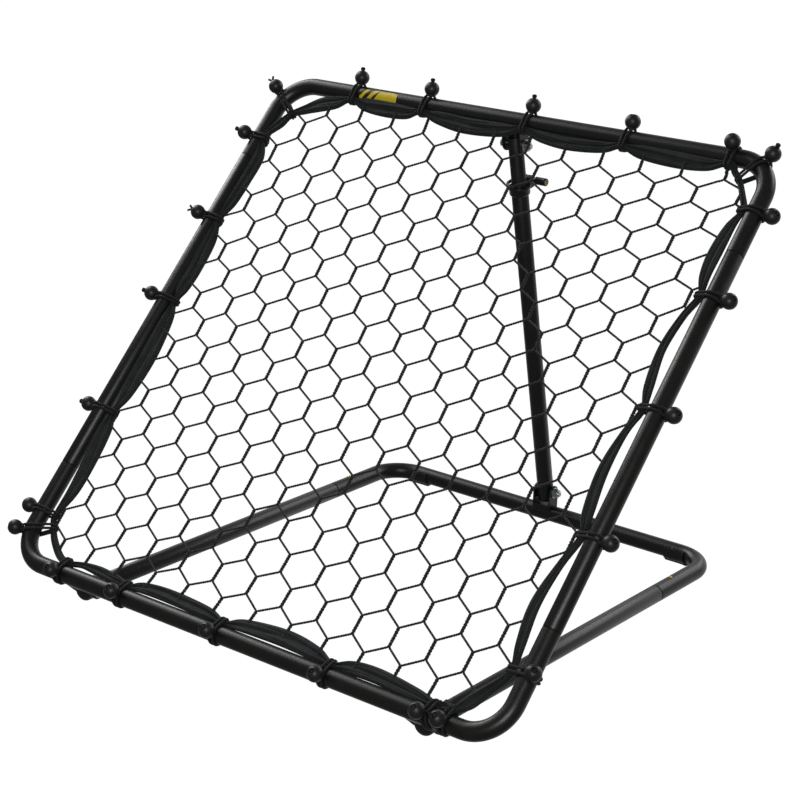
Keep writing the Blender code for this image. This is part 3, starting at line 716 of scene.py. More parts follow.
# ---------------------------------------------------------------- strut

def strut_tubes():
    lower = on_strut(0, 0, -STRUT_TAIL), on_strut(0, 0, CLAMP_AT + COLLAR_TOP)
    upper = on_strut(0, 0, STRUT_UPPER_FROM), on_strut(0, 0, STRUT_LENGTH + STRUT_UPPER_TAIL)
    straight_tube("strut_lower_tube", *lower, "strut_lower")
    straight_tube("strut_upper_tube", *upper, "strut_upper", radius=SLIM_R)


def collar():
    """A split ring on the tube's mouth, with two ears that the clamp bolt draws together."""
    top = CLAMP_AT + COLLAR_TOP
    sleeve, lip = TUBE_R + 0.0002, SLIM_R + 0.0002
    section = [(sleeve, top - 0.007), (0.0139, top - 0.007), (0.0144, top - 0.0066), (0.0152, top - 0.0050),
               (0.0153, top - 0.0044), (0.0153, top + 0.0018), (0.0155, top + 0.0024), (0.0162, top + 0.0027),
               (0.0165, top + 0.0032), (0.0165, top + 0.0060), (0.0161, top + 0.0065),
               (lip + 0.0003, top + 0.0066), (lip, top + 0.0062), (lip, top + 0.0003), (sleeve, top + 0.0003)]
    slit = math.asin(0.0012 / 0.0145)
    angles = np.linspace(math.pi / 2 + slit, math.pi * 2.5 - slit, 61)
    rings = [[on_strut(r * math.cos(a), r * math.sin(a), z) for r, z in section] for a in angles]
    parts = [surface("collar_ring", rings)]
    tidy_normals(parts[0])
    outline = rounded((0.0136, top - 0.003), (0.0245, CLAMP_AT + 0.0055), 0.0022)
    for x0, x1 in ((-0.0055, -0.0012), (0.0012, 0.0090)):
        ear = surface("ear", [[on_strut(x, a, b) for a, b in outline] for x in (x0, x1)])
        tidy_normals(ear)
        softened(ear, 0.0005)
        parts.append(ear)
    for number, part in enumerate(parts):
        name = ("strut_clamp_collar", "collar_left_ear", "collar_right_ear")[number]
        part.name = name
        nodes = ("strut_clamp_collar",) if number == 0 else ()
        finished(part, CLAMP_PLASTIC, "strut_lower", nodes)


def clamp_lever():
    eye = on_strut(LEVER_X, CLAMP_BACK, CLAMP_AT)
    half, r = 0.0050, 0.0062
    parts = []
    for low, high in ((-half, -0.0029), (0.0029, half)):
        e = 0.0004
        profile = [(0.0018, low), (r - e, low), (r, low + e), (r, high - e), (r - e, high), (0.0018, high)]
        parts.append(turned("cheek", profile, eye, STRUT_UP, 36, closed=True))
    web = [(-r * 0.98, -0.0046), (-r * 0.55, -0.0046), (-r * 0.55, 0.0046), (-r * 0.98, 0.0046)]
    rings = [[eye + X * (a * math.cos(t)) + STRUT_BACK * (a * math.sin(t)) + STRUT_UP * b for a, b in web]
             for t in np.linspace(-1.0, 1.0, 15)]
    parts.append(surface("web", rings))
    rings = []
    for i in range(41):
        share = i / 40
        a = math.radians(124 + 161 * share)
        taper = 1.0 - 0.25 * share
        flare = 0.0045 * max(0.0, 1 - share * 5) ** 2 + 0.0016 * max(0.0, share - 0.85) / 0.15
        out = X * math.cos(a) + STRUT_BACK * math.sin(a)
        mid = on_strut(0, 0, CLAMP_AT) + out * (LEVER_ARC_R + flare)
        section = rounded((-0.0014, -0.0026 * taper), (0.0014, 0.0026 * taper), 0.0008, 3)
        rings.append([mid + out * p + STRUT_UP * q for p, q in section])
    parts.append(surface("arm", rings))
    for part in parts:
        tidy_normals(part)
    lever = joined("clamp_lever", parts)
    finished(lever, CLAMP_PLASTIC, "clamp_lever", ("clamp_lever",))


def clamp_bolt():
    eye = on_strut(LEVER_X, CLAMP_BACK, CLAMP_AT)
    e = 0.0003
    ring = [(0.0018, -0.0025), (0.0036 - e, -0.0025), (0.0036, -0.0025 + e), (0.0036, 0.0025 - e),
            (0.0036 - e, 0.0025), (0.0018, 0.0025)]
    loop = turned("eye", ring, eye, STRUT_UP, 32, closed=True)
    tidy_normals(loop)
    start, end = 0.0030, CLAMP.x - LEVER_X + 0.0335
    profile = [(0, start), (CLAMP_BOLT_R, start)]
    turns = int((end - 0.012) / 0.0004)
    profile += [(CLAMP_BOLT_R - 0.0002 * (i % 2), 0.012 + 0.0004 * i) for i in range(turns)]
    shank = turned("shank", profile + [(CLAMP_BOLT_R * 0.8, end), (0, end)], eye, X, 24)
    bolt = joined("clamp_bolt", [loop, shank])
    finished(bolt, ZINC, "strut_lower", ("clamp_bolt",))
    pin = [(0, -0.0056), (0.0012, -0.0056), (0.0015, -0.0053)]
    pin += [(radius, -at) for radius, at in pin[::-1]]
    made = turned("clamp_lever_pin", pin, eye, STRUT_UP, 20)
    finished(made, ZINC, "strut_lower", ("clamp_lever_pin",))


def clamp_knob():
    """The round clamp nut with fine grip flutes, and the brass insert in its end."""
    def fluted(radius, angle):
        return radius - 0.00035 * (0.5 + 0.5 * math.cos(14 * angle))

    bore = CLAMP_BOLT_R + 0.0010
    profile = [(bore, 0.0094), (0.0040, 0.0094), (0.0042, 0.0098), (0.0042, 0.0150), (0.0046, 0.0158),
               (0.0056, 0.0164), (0.0058, 0.0170), (0.0058, 0.0185, fluted), (0.0058, 0.0318, fluted),
               (0.0058, 0.0332), (0.0056, 0.0343), (0.0051, 0.0349), (0.0044, 0.0350), (bore, 0.0346)]
    knob = turned("clamp_knob", profile, CLAMP, X, 84, closed=True)
    tidy_normals(knob)
    finished(knob, CLAMP_PLASTIC, "clamp_knob", ("clamp_knob",))
    ring = [(CLAMP_BOLT_R + 0.0001, 0.0250), (bore, 0.0250), (bore, 0.0347), (CLAMP_BOLT_R + 0.0001, 0.0347)]
    insert = turned("clamp_knob_insert", ring, CLAMP, X, 32, closed=True)
    tidy_normals(insert)
    finished(insert, BRASS, "clamp_knob")


# ---------------------------------------------------------------- places round the net

def side_point(side, along, depth, front=0.0):
    """A point by a bar: its place along the bar, its depth into the net, and its height to the front."""
    x, v = {
        "bottom": (along, depth),
        "right": (HALF - depth, along),
        "top": (along, SIDE - depth),
        "left": (-HALF + depth, along),
    }[side]
    return on_frame(x, v, front)


def tie_place(side, number):
    """Where a tie sits along its bar, read from its node."""
    node = frame["nodes"][f"bungee_{side}_{number}"]
    axis = X if side in ("top", "bottom") else UP
    values = [(v.co - BOTTOM).dot(axis) for v in node.data.vertices]
    return (min(values) + max(values)) / 2


TIES = {side: [tie_place(side, n) for n in range(1, 6)] for side in TIE_ANGLES}

# Where the band is drawn together by each tie: depth into the net and height to the front, in millimetres
BUNCHES = {
    "bottom": ((16.5, 0), (16.5, 0), (16.5, 0), (16.5, 0), (15.8, 2)),
    "right": ((19.0, 0), (20.0, 0), (22.0, 0), (20.0, 0), (24.4, 0)),
    "top": ((15.5, 6.2), (15.8, 6.0), (15.6, 6.0), (15.5, 6.2), (15.2, 6.5)),
    "left": ((27.0, 0), (23.5, 0), (18.5, 0), (16.2, 4.4), (15.0, 7.0)),
}
# How far the band swells between ties, in travel order: share of the way, outer edge and inner edge
# in millimetres
SWELLS = {
    "bottom": (((0.25, 15.5, 25.5), (0.50, 13.5, 28.0), (0.80, 11.5, 25.0)),
               ((0.16, 12.5, 29.5), (0.42, 13.0, 33.0), (0.80, 11.5, 29.5)),
               ((0.18, 12.5, 31.5), (0.54, 13.8, 38.0), (0.82, 12.0, 32.0)),
               ((0.18, 12.0, 31.0), (0.42, 12.8, 33.5), (0.78, 10.5, 27.5))),
    "right": (((0.19, 23.5, 38.0), (0.46, 29.0, 45.0), (0.74, 25.0, 36.5)),
              ((0.17, 18.5, 35.5), (0.48, 26.0, 42.5), (0.78, 25.5, 36.5)),
              ((0.20, 22.0, 36.0), (0.50, 29.5, 41.5), (0.80, 24.5, 34.0)),
              ((0.24, 18.0, 34.5), (0.50, 17.2, 38.0), (0.80, 17.0, 33.0))),
    "top": (((0.20, 12.0, 27.0), (0.46, 10.5, 30.5), (0.80, 10.0, 26.5)),
            ((0.20, 14.0, 27.0), (0.52, 16.0, 32.0), (0.80, 14.0, 27.5)),
            ((0.20, 12.5, 29.5), (0.54, 13.0, 34.5), (0.82, 11.0, 27.5)),
            ((0.22, 11.0, 28.0), (0.50, 9.5, 30.5), (0.80, 9.5, 27.0))),
    "left": (((0.22, 10.5, 28.0), (0.50, 11.5, 28.5), (0.78, 10.5, 25.5)),
             ((0.25, 9.5, 28.5), (0.60, 11.5, 32.0), (0.84, 11.0, 29.0)),
             ((0.17, 14.0, 33.5), (0.50, 15.5, 42.0), (0.82, 18.5, 38.0)),
             ((0.16, 15.5, 37.0), (0.45, 19.0, 42.5), (0.75, 22.0, 42.0))),
}
# How far forward the band's outer edge lies between ties, in millimetres
OUTER_FRONT = {"bottom": 4.0, "right": 0.0, "top": 8.5, "left": 5.5}
# Band stations at the corners, in travel order: x, v, half width, height to the front, roll, how gathered
CORNER_BAND = {
    "bottom_right": [(0.3345, 0.0190, 0.0075, 0.004, 0, 0.5), (0.3465, 0.0175, 0.0042, 0.003, 0, 1.0),
                     (0.3620, 0.0330, 0.0090, 0.001, 10, 0.2), (0.3790, 0.0590, 0.0060, 0.0, 25, 0.4)],
    "top_right": [(0.3915, 0.7860, 0.0038, 0.0, 10, 0.8), (0.3770, 0.8080, 0.0036, 0.0, 0, 1.0),
                  (0.3670, 0.8170, 0.0042, 0.002, 0, 0.8)],
    "top_left": [(-0.3140, 0.8185, 0.0095, 0.003, -14, 0.3), (-0.3420, 0.8110, 0.0115, 0.001, -8, 0.2),
                 (-0.3690, 0.7970, 0.0080, 0.0, 0, 0.5), (-0.3860, 0.7850, 0.0042, 0.0, 0, 1.0),
                 (-0.3960, 0.7640, 0.0075, 0.003, -10, 0.4)],
    "bottom_left": [(-0.3850, 0.0560, 0.0038, 0.0, 0, 1.0), (-0.3720, 0.0400, 0.0046, 0.0, 0, 0.6),
                    (-0.3480, 0.0215, 0.0048, 0.0, 0, 0.5)],
}
CUT_WIDTH = 0.052


def bunch(side, number):
    depth, front = BUNCHES[side][number]
    return depth / 1000, front / 1000


def band_stations():
    """Stations round the net, counterclockwise from the front: point (x, v, n), half width, roll, gather."""
    made = []
    order = (("bottom", 1, "bottom_right"), ("right", -1, "top_right"), ("top", -1, "top_left"),
             ("left", -1, "bottom_left"))
    for side, step, corner in order:
        numbers = range(5)[::step]
        for turn, number in enumerate(numbers):
            at = TIES[side][number]
            depth, front = bunch(side, number)
            for share in (-0.006, 0.006):
                made.append((side_point(side, at + share * step_sign(side), depth, front), 0.0042, 0, 1.0))
            if turn == 4:
                continue
            gap = TIES[side][numbers[turn + 1]] - at
            for share, outer, inner in SWELLS[side][turn]:
                drop = OUTER_FRONT[side] * min(1.0, max(0.0, (24.0 - outer) / 12.0))
                middle_depth, half = (outer + inner) / 2000, math.hypot(inner - outer, drop) / 2000
                roll = -math.degrees(math.atan2(drop, inner - outer))
                made.append((side_point(side, at + gap * share, middle_depth, drop / 2000), half, roll, 0.15))
        for x, v, half, front, roll, gather in CORNER_BAND[corner]:
            made.append((on_frame(x, v, front), half, roll, gather))
    return made


def step_sign(side):
    return 1 if side in ("bottom", "right") else -1


def smooth_closed(values, steps):
    """Points on a closed Catmull-Rom curve, and every station's value with them."""
    values = np.asarray(values, float)
    t = np.linspace(0, 1, steps, endpoint=False)[:, None]
    made = []
    for i in range(len(values)):
        a, b, c, d = (values[(i + k) % len(values)] for k in (-1, 0, 1, 2))
        made.append(0.5 * ((2 * b) + (c - a) * t + (2 * a - 5 * b + 4 * c - d) * t ** 2
                           + (3 * b - a - 3 * c + d) * t ** 3))
    return np.concatenate(made)


def even_steps(values, step):
    """A closed run of points and values, spaced evenly along it."""
    run = lengths(values[:, :3], closed=True)
    count = round(run[-1] / step)
    at = np.linspace(0, run[-1], count, endpoint=False)
    ends = np.vstack([values, values[:1]])
    return np.stack([np.interp(at, run, ends[:, k]) for k in range(ends.shape[1])], axis=1)


def band_line():
    stations = [[*point, half, roll, gather] for point, half, roll, gather in band_stations()]
    return even_steps(smooth_closed(stations, 12), 0.0035)


BAND = band_line()


def crease(turns):
    """A wave with sharp creases between rounded folds."""
    return 2.0 * np.abs(np.sin(turns / 2)) ** 0.8 - 1.2


def band_section(half, gather, s):
    """The folded cloth across the band: front layer, fold, back layer. Points are (inward, front)."""
    front = np.linspace(-1, 1, 27)
    back = front[::-1]
    gap = 0.0014 + 0.0010 * gather
    swing = 0.0012 + 0.0009 * gather
    slack = math.sin(23.0 * s) + 0.6 * math.sin(57.0 * s + 1.0)
    pleats = crease(front * (5.2 + 1.5 * gather) + 0.9 * slack) * swing
    pleats += 0.40 * swing * crease(front * 12.0 + 1.7 * math.sin(31.0 * s) + 2.0)
    other = np.sin(back * (4.9 + 2.0 * gather) + 1.7 - 0.7 * slack) * swing
    level = gap * np.sqrt(np.clip(1 - front ** 6, 0, 1))
    upper = np.stack([front * half, level + pleats * (1 - front ** 8)], axis=1)
    narrow = 0.97 - 0.05 * math.sin(9 * s)
    lower = np.stack([back * half * narrow, -level[::-1] + other * (1 - back ** 8)], axis=1)
    lower[0] = upper[-1] + (0.0006, -0.0009)
    return np.concatenate([upper, lower])


def band_axes(line):
    tangent = np.roll(line[:, :3], -1, axis=0) - np.roll(line[:, :3], 1, axis=0)
    tangent /= np.linalg.norm(tangent, axis=1)[:, None]
    inward = np.cross(np.array(FRONT), tangent)
    inward /= np.linalg.norm(inward, axis=1)[:, None]
    front = np.cross(tangent, inward)
    roll = np.radians(line[:, 4])[:, None]
    return inward * np.cos(roll) + front * np.sin(roll), front * np.cos(roll) - inward * np.sin(roll)


def net_band():
    """The fabric band, folded over the edge of the net and drawn together at each tie."""
    thick = 0.0007
    inward, front = band_axes(BAND)
    run = lengths(BAND[:, :3], closed=True)
    rings = []
    for row, a, b, s in zip(BAND, inward, front, run):
        line = band_section(row[3], row[5], s)
        step = np.gradient(line, axis=0)
        normal = np.stack([-step[:, 1], step[:, 0]], axis=1)
        normal /= np.linalg.norm(normal, axis=1)[:, None]
        outline = np.concatenate([line + normal * thick / 2, (line - normal * thick / 2)[::-1]])
        rings.append(row[:3] + outline[:, :1] * a + outline[:, 1:] * b)
    sides = len(rings[0])
    across = np.linspace(0, CUT_WIDTH, sides // 2)
    across = np.concatenate([across, across[::-1], [0.0]])
    band = surface("net_band", rings, closed=True, uvs=(run, across))
    tidy_normals(band)
    finished(band, CLOTH, "net_frame", ("net_band",))
    threads = band_stitches(inward, front, run)


def band_stitches(inward, front, run):
    """A row of lock stitches through both layers, near the folded edge."""
    column = 22
    points, faces = [], []
    for i in range(0, len(BAND) - 1):
        if BAND[i, 5] > 0.75:
            continue
        ends = []
        for k in (i, i + 1):
            line = band_section(BAND[k, 3], BAND[k, 5], run[k])
            for layer, lift in ((column, 0.0004), (len(line) - 1 - column, -0.0004)):
                p = line[layer] + (0, lift)
                ends.append(BAND[k, :3] + p[0] * inward[k] + p[1] * front[k])
        for start, end in ((ends[0], ends[2]), (ends[1], ends[3])):
            add_thread(points, faces, start, start + (end - start) * 0.72)
    mesh = bpy.data.meshes.new("band_stitching")
    mesh.from_pydata(points, [], faces)
    mesh.shade_smooth()
    return finished(linked("band_stitching", mesh), NET_CORD, "net_frame")


def add_thread(points, faces, start, end):
    """One stitch: a short thread that is pulled in at both ends."""
    along = (end - start) / np.linalg.norm(end - start)
    side = np.cross(along, np.array(FRONT))
    side /= np.linalg.norm(side)
    lift = np.cross(side, along)
    first = len(points)
    for share, r in ((0.0, 0.0001), (0.25, 0.00024), (0.75, 0.00024), (1.0, 0.0001)):
        centre = start + (end - start) * share
        for k in range(5):
            a = 2 * math.pi * k / 5
            points.append(tuple(centre + r * (math.cos(a) * side + math.sin(a) * lift)))
    for ring in range(3):
        for k in range(5):
            a, b = first + ring * 5 + k, first + ring * 5 + (k + 1) % 5
            faces.append((a, b, b + 5, a + 5))
    faces.append(tuple(first + k for k in reversed(range(5))))
    faces.append(tuple(first + 15 + k for k in range(5)))


# ---------------------------------------------------------------- net

# Where the middles of 16 of the net's legs are, in millimetres across and up from the middle of the
# bottom bar. Columns are half a cell apart, and rows count down the net.
LEG_COLUMNS = (-10, -4, 4, 12)
LEG_ROWS = (-8, -2, 4, 8)
LEG_PLACES = (
    ((-352.0, 761.0), (-168.0, 763.0), (75.5, 761.5), (324.0, 774.5)),
    ((-336.0, 494.5), (-152.0, 503.0), (90.5, 509.0), (328.5, 528.5)),
    ((-324.5, 241.5), (-137.5, 246.5), (103.0, 251.0), (334.0, 261.0)),
    ((-324.0, 75.5), (-142.0, 77.0), (102.0, 76.0), (334.0, 79.5)),
)
# The part of a row's height that a twisted leg takes, and the steps along it
LEG_SHARE = 0.64
LEG_STEPS = 30


def weights(at, knots):
    """How much each knot counts at a place on the smooth curve through all of them."""
    return [math.prod((at - other) / (knot - other) for other in knots if other != knot) for knot in knots]


def net_place(i, j):
    """Column i and row j of the net, in frame coordinates."""
    return np.einsum("r,c,rck->k", weights(j, LEG_ROWS), weights(i, LEG_COLUMNS), LEG_PLACES) / 1000


def leg_ends(i, j):
    """The top and bottom of a twisted leg, which lies along its column."""
    return net_place(i, j - LEG_SHARE / 2), net_place(i, j + LEG_SHARE / 2)


def cord_chain(legs, entry):
    """One net cord: it twists round its neighbour down each leg, then crosses to the next."""
    points = []
    for i, j in legs:
        top, foot = leg_ends(i, j)
        for k in range(LEG_STEPS + 1):
            share = k / LEG_STEPS
            turn = (0 if entry > 0 else math.pi) + 2 * math.pi * LEG_TURNS * share
            x, v = top + (foot - top) * share
            points.append((x + TWIST_R * math.cos(turn), v, TWIST_R * math.sin(turn)))
    return np.array(points)


def resampled(points, step):
    run = lengths(points)
    at = np.linspace(0, run[-1], max(2, round(run[-1] / step)))
    return np.stack([np.interp(at, run, points[:, k]) for k in range(points.shape[1])], axis=1)


def inside_band(points, outline):
    """True for each (x, v) point inside the band's middle line."""
    inside = np.zeros(len(points), bool)
    x, v = points[:, 0], points[:, 1]
    for (x0, v0), (x1, v1) in zip(outline, np.roll(outline, -1, axis=0)):
        if v0 == v1:
            continue
        crosses = (v0 > v) != (v1 > v)
        inside ^= crosses & (x < (x1 - x0) * (v - v0) / (v1 - v0) + x0)
    return inside


def rebound_net():
    """Two families of cords, which run down to the left and down to the right."""
    offset = BAND[:, :3] - np.array(BOTTOM)
    flat = np.stack([offset[:, 0], offset @ np.array(UP), offset @ np.array(FRONT)], axis=1)
    outline = flat[::2, :2]
    families = {"rebound_net": 1, "rebound_net_cross_cords": -1}
    for name, entry in families.items():
        parts = []
        for number in range(-24, 27, 2):
            legs = [(number - j * entry, j) for j in range(-11, 12)]
            legs = [(i, j) for i, j in legs if -16 <= i <= 18]
            if len(legs) < 2:
                continue
            line = resampled(cord_chain(legs, entry), NET_STEP)
            inside = inside_band(line[:, :2], outline)
            edges = np.flatnonzero(np.diff(np.concatenate([[0], inside.astype(int), [0]])))
            for start, end in zip(edges[::2], edges[1::2]):
                if end - start < 8:
                    continue
                piece = line[start:end].copy()
                parts.append(place_cord(piece, flat))
        made = joined(name, parts)
        nodes = ("rebound_net",) if entry > 0 else ()
        finished(made, NET_CORD, "net_frame", nodes)


def place_cord(line, band):
    """Meets the band at its own height, softens the corners, and sweeps the twisted section."""
    gap = np.linalg.norm(line[:, None, :2] - band[None, ::3, :2], axis=2)
    nearest = gap.argmin(axis=1)
    pull = np.exp(-(gap.min(axis=1) / 0.018) ** 2)
    line[:, 2] += band[::3, 2][nearest] * pull
    soft = line.copy()
    for _ in range(2):
        soft[1:-1] = (soft[:-2] + 2 * soft[1:-1] + soft[2:]) / 4
    world = np.array(BOTTOM) + soft[:, :1] * np.array(X) + soft[:, 1:2] * np.array(UP)
    world = world + soft[:, 2:] * np.array(FRONT)
    return sweep("cord", world, NET_CORD_R, 6, first=tuple(FRONT), squeeze=0.13, twist=math.pi / 0.0033)


# ---------------------------------------------------------------- ties

def belt(r1, far, height, r2):
    """The closed line round a circle at the origin and a smaller one at (far, height)."""
    distance = math.hypot(far, height)
    heading = math.atan2(height, far)
    lap = math.acos((r1 - r2) / distance)
    points = []
    for centre, radius, start, end in (((0, 0), r1, heading + lap, heading + 2 * math.pi - lap),
                                       ((far, height), r2, heading - lap, heading + lap)):
        count = max(4, round((end - start) / BELT_STEP))
        for i in range(count + 1):
            a = start + (end - start) * i / count
            points.append((centre[0] + radius * math.cos(a), centre[1] + radius * math.sin(a)))
    return points


def tie(name, foot, inward, ball_angle, tip, tails, aside=0.0):
    """A ball on a doubled elastic that holds the band to the bar. tip is (far, height, radius).

    aside is how far the ball has slipped along the bar from its loop.
    """
    along = inward.cross(FRONT)
    angle = math.radians(ball_angle)
    out = FRONT * math.sin(angle) - inward * math.cos(angle)
    pole = (out + UP_Z * 0.35 + FRONT * max(0.0, 0.5 - out.dot(FRONT))).normalized()
    if inward.x > 0.5:
        pole = out
    seat = foot + along * aside
    ball = ball_mesh(name + "_ball", seat + out * BALL_REACH, pole)
    finished(ball, BALL_PLASTIC, "net_frame", (name,))
    loop = belt(TUBE_R + CORD_R, tip[0], tip[1], tip[2] + CORD_R)
    ball_turn = math.atan2(math.sin(angle), -math.cos(angle))
    turns = [math.atan2(b, a) for a, b in loop]
    first = min(range(len(loop)), key=lambda i: abs(math.remainder(turns[i] - ball_turn, 2 * math.pi)))
    loop = loop[first:] + loop[:first]
    parts = []
    for side in (-1, 1):
        points = []
        count = len(loop)
        for k, (a, b) in enumerate(loop):
            near = min(k, count - k) / count
            lift = 0.0035 * max(0.0, 1 - near / 0.06) ** 2
            shift = side * (CORD_R * 1.02 + 0.0024 * max(0.0, 1 - near / 0.34))
            shift += aside * 0.7 * max(0.0, 1 - near / 0.16)
            reach = math.hypot(a, b)
            grow = (reach + lift) / reach
            points.append(foot + inward * a * grow + FRONT * b * grow + along * shift)
        parts.append(sweep("strand", soft_line(points), CORD_R, 10))
    ring = []
    for k in range(24):
        a = 2 * math.pi * k / 24
        cross = along.cross(out)
        rise = BALL_REACH - 0.0093 + 0.0006 * math.sin(2 * a)
        ring.append(seat + out * rise + along * 0.0058 * math.cos(a) + cross * 0.0058 * math.sin(a))
    parts.append(sweep("bight", ring, CORD_R * 0.92, 10, closed=True))
    parts += ball_knot(seat + out * BALL_REACH, pole, along, tails)
    elastic = joined(name + "_elastic", parts)
    finished(elastic, ELASTIC, "net_frame")


def soft_line(points):
    """Rounds a line and spaces it evenly."""
    line = np.array([tuple(p) for p in points])
    line = resampled(line, 0.0016)
    for _ in range(3):
        line[1:-1] = (line[:-2] + 2 * line[1:-1] + line[2:]) / 4
    return line


def ball_mesh(name, centre, out):
    """A moulded ball with a parting line and a countersunk hole in its outer side."""
    r, hole = BALL_R, 0.0034
    profile = []
    for degrees in range(-90, 72, 6):
        a = math.radians(degrees)
        seam = 0.00012 if degrees == 0 else 0.0
        profile.append(((r + seam) * math.cos(a), (r + seam) * math.sin(a)))
    profile[0] = (0, -r)
    rim = math.sqrt(r * r - (hole + 0.0006) ** 2)
    profile += [(hole + 0.0006, rim), (hole + 0.0002, rim - 0.0001), (hole, rim - 0.0005)]
    profile += [(hole, rim - 0.0032), (hole * 0.6, rim - 0.0045), (0, rim - 0.0048)]
    return turned(name, profile, centre, out, 36)


def ball_knot(centre, out, along, tails):
    """What shows of the knot in the ball's hole: a round knot, with or without two cut cord ends."""
    parts = []
    base = centre + out * (BALL_R - 0.0022)
    cross = along.cross(out)
    if tails == "knob":
        line = [base, base + out * 0.0018, base + out * 0.0030 + along * 0.0004]
        line += [base + out * 0.0058 + along * 0.0008, base + out * 0.0070 + along * 0.0009]
        return [sweep("knob", [tuple(p) for p in line], [0.0020, 0.0023, 0.0034, 0.0034, 0.0018], 14)]
    ring = [base + (along * math.cos(a) + cross * math.sin(a)) * 0.0014 + out * 0.0006 * math.sin(2 * a)
            for a in (2 * math.pi * k / 16 for k in range(16))]
    parts.append(sweep("knot", [tuple(p) for p in ring], 0.0013, 8, closed=True))
    if tails == "tails":
        for side, lean in ((-1, 0.35), (1, 0.5)):
            bend = along * side * 0.0026 + cross * lean * 0.003
            line = [base, base + out * 0.0025 + bend * 0.4]
            line += [base + out * 0.0048 + bend, base + out * 0.0066 + bend * 1.7]
            parts.append(sweep("tail", soft_line(line), 0.0016, 8))
    return parts


TAILS = {
    "top": ("knob", "knob", "knob", "none", "none"),
    "bottom": ("none", "none", "tails", "none", "none"),
    "left": ("none", "knob", "knob", "tails", "knob"),
    "right": ("none", "none", "none", "none", "none"),
}
# Balls that have slipped along the bar from their loops
SLIPPED = {("bottom", 5): -0.0085}
CORNER_TAILS = {"top_left": "tails", "top_right": "knob", "bottom_left": "none", "bottom_right": "tails"}
# Corner ties: the bar point (x, v), the heading into the net, the ball's angle, and how far the band is
CORNER_TIES = {
    "top_left": ((-0.4155, 0.8080), -38, 38, 0.0372),
    "top_right": ((0.3965, 0.8315), -130, 24, 0.0290),
    "bottom_left": ((-0.4185, 0.0420), 22, 36, 0.0360),
    "bottom_right": ((0.3465, 0.0000), 90, 82, 0.0170),
}


def ties():
    into = {"top": -UP, "bottom": UP, "left": X, "right": -X}
    for side, angles in TIE_ANGLES.items():
        for number, (at, angle) in enumerate(zip(TIES[side], angles), 1):
            tails = TAILS[side][number - 1]
            tie(f"bungee_{side}_{number}", side_point(side, at, 0), into[side], angle,
                (*bunch(side, number - 1), 0.0044), tails, SLIPPED.get((side, number), 0.0))
    for corner, ((x, v), heading, angle, reach) in CORNER_TIES.items():
        turn = math.radians(heading)
        inward = X * math.cos(turn) + UP * math.sin(turn)
        tie(f"bungee_{corner}", on_frame(x, v), inward, angle, (reach, 0.0, 0.0044), CORNER_TAILS[corner])


def label():
    """A plain label wrapped on the front of the top bar."""
    low, high = math.radians(-22), math.radians(60)
    start, end = -0.276, -0.206
    rings = []
    angles = np.linspace(low, high, 15)
    inset = 0.0035
    for i in range(36):
        share = i / 35
        x = start + (end - start) * share
        edge = min(x - start, end - x)
        pinch = 0.0 if edge >= inset else inset - math.sqrt(inset ** 2 - (inset - edge) ** 2)
        span = (angles - (low + high) / 2) * (1 - pinch / (TUBE_R * (high - low) / 2)) + (low + high) / 2
        outer = [TOP + X * x + Vector((0, -math.cos(a), math.sin(a))) * (TUBE_R + 0.00018) for a in span]
        inner = [TOP + X * x + Vector((0, -math.cos(a), math.sin(a))) * (TUBE_R - 0.0001) for a in span[::-1]]
        rings.append(outer + inner)
    along = np.linspace(0, end - start, 37)
    width = TUBE_R * (high - low)
    across = np.concatenate([np.linspace(0, width, 15), np.linspace(width, 0, 15), [0.0]])
    made = surface("top_bar_label", rings, uvs=(along, across))
    tidy_normals(made)
    finished(made, LABEL, "net_frame")


# ---------------------------------------------------------------- scene

def camera():
    """The camera, whose angle, roll and lens match the product view."""
    azimuth, elevation, roll = math.radians(37.69), math.radians(18.153), math.radians(-2.051)
    view = Vector((-math.sin(azimuth) * math.cos(elevation), math.cos(azimuth) * math.cos(elevation),
                   -math.sin(elevation)))
    level = view.cross(UP_Z).normalized()
    down = view.cross(level)
    right = level * math.cos(roll) + down * math.sin(roll)
    up = level * math.sin(roll) - down * math.cos(roll)
    data = bpy.data.cameras.new("camera")
    data.lens = 90.64
    data.sensor_width = 36.0
    made = bpy.data.objects.new("camera", data)
    bpy.context.scene.collection.objects.link(made)
    made.matrix_world = Matrix.Translation((1.6218, -2.1142, 1.15882)) @ Matrix(
        (right, up, -view)).transposed().to_4x4()
    bpy.context.scene.camera = made


def softbox(name, place, aim, size, power):
    data = bpy.data.lights.new(name, "AREA")
    data.shape = "RECTANGLE"
    data.size, data.size_y = size
    data.energy = power
    made = bpy.data.objects.new(name, data)
    bpy.context.scene.collection.objects.link(made)
    made.location = place
    made.rotation_euler = (Vector(aim) - Vector(place)).to_track_quat("-Z", "Y").to_euler()


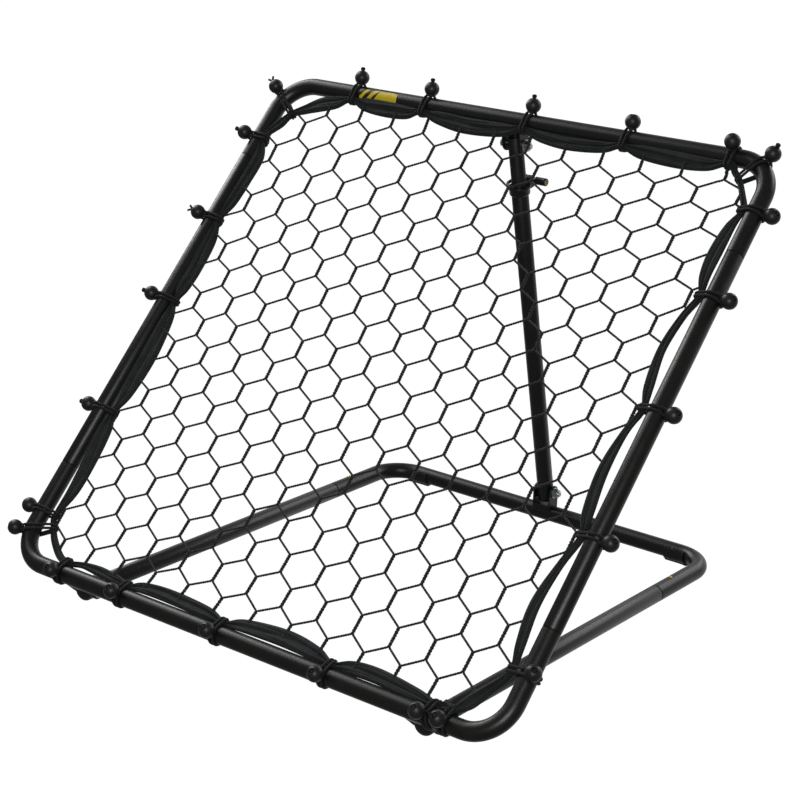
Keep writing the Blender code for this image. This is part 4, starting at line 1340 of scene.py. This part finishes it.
def studio():
    """A pale floor, a pale surround and softboxes."""
    scene = bpy.context.scene
    scene.view_settings.view_transform = "Standard"
    world = bpy.data.worlds.new("surround")
    world.use_nodes = True
    scene.world = world
    tree = world.node_tree
    shade = tree.nodes["Background"]
    path = add(tree, "LightPath")
    place = add(tree, "TexCoord")
    toward = add(tree, "VectorMath", operation="DOT_PRODUCT")
    toward.inputs[1].default_value = (-0.20, 0.94, -0.28)
    tree.links.new(place.outputs["Generated"], toward.inputs[0])
    level = add(tree, "MapRange")
    level.inputs["To Max"].default_value = 1.03
    tree.links.new(spread(tree, toward.outputs["Value"], 0.12, 0.75, 0.30, 1.0), level.inputs["To Min"])
    tree.links.new(path.outputs["Is Camera Ray"], level.inputs["Value"])
    tree.links.new(level.outputs["Result"], shade.inputs["Strength"])
    shade.inputs["Color"].default_value = (1, 1, 1, 1)
    mesh = bpy.data.meshes.new("floor")
    reach = 30.0
    mesh.from_pydata([(-reach, -reach, 0), (reach, -reach, 0), (reach, reach, 0), (-reach, reach, 0)], [],
                     [(0, 1, 2, 3)])
    floor = bpy.data.objects.new("floor", mesh)
    scene.collection.objects.link(floor)
    made, tree, shader = node_material("floor_paper", (0.0, 0.0, 0.0), 0.9)
    shader.inputs["Specular IOR Level"].default_value = 0.0
    shader.inputs["Emission Color"].default_value = (1, 1, 1, 1)
    shader.inputs["Emission Strength"].default_value = 1.03
    mesh.materials.append(made)
    floor.visible_glossy = False
    floor.visible_diffuse = False
    softbox("key", (-2.8, 0.8, 2.0), (0, 0.1, 0.3), (1.3, 2.0), 42)
    softbox("left", (-2.0, -0.3, 2.8), (0, 0.1, 0.3), (2.4, 0.9), 14)
    softbox("back", (0.9, 3.0, 1.9), (0, 0.1, 0.2), (3.2, 1.3), 28)
    softbox("front", (1.7, -2.6, 1.5), (0, 0, 0.3), (1.3, 1.3), 34)


camera()
studio()
frame_tubes()
base_tubes()
brackets()
foot_caps()
rear_feet()
snap_buttons()
strut_tubes()
collar()
clamp_bolt()
clamp_lever()
clamp_knob()
net_band()
rebound_net()
ties()
label()
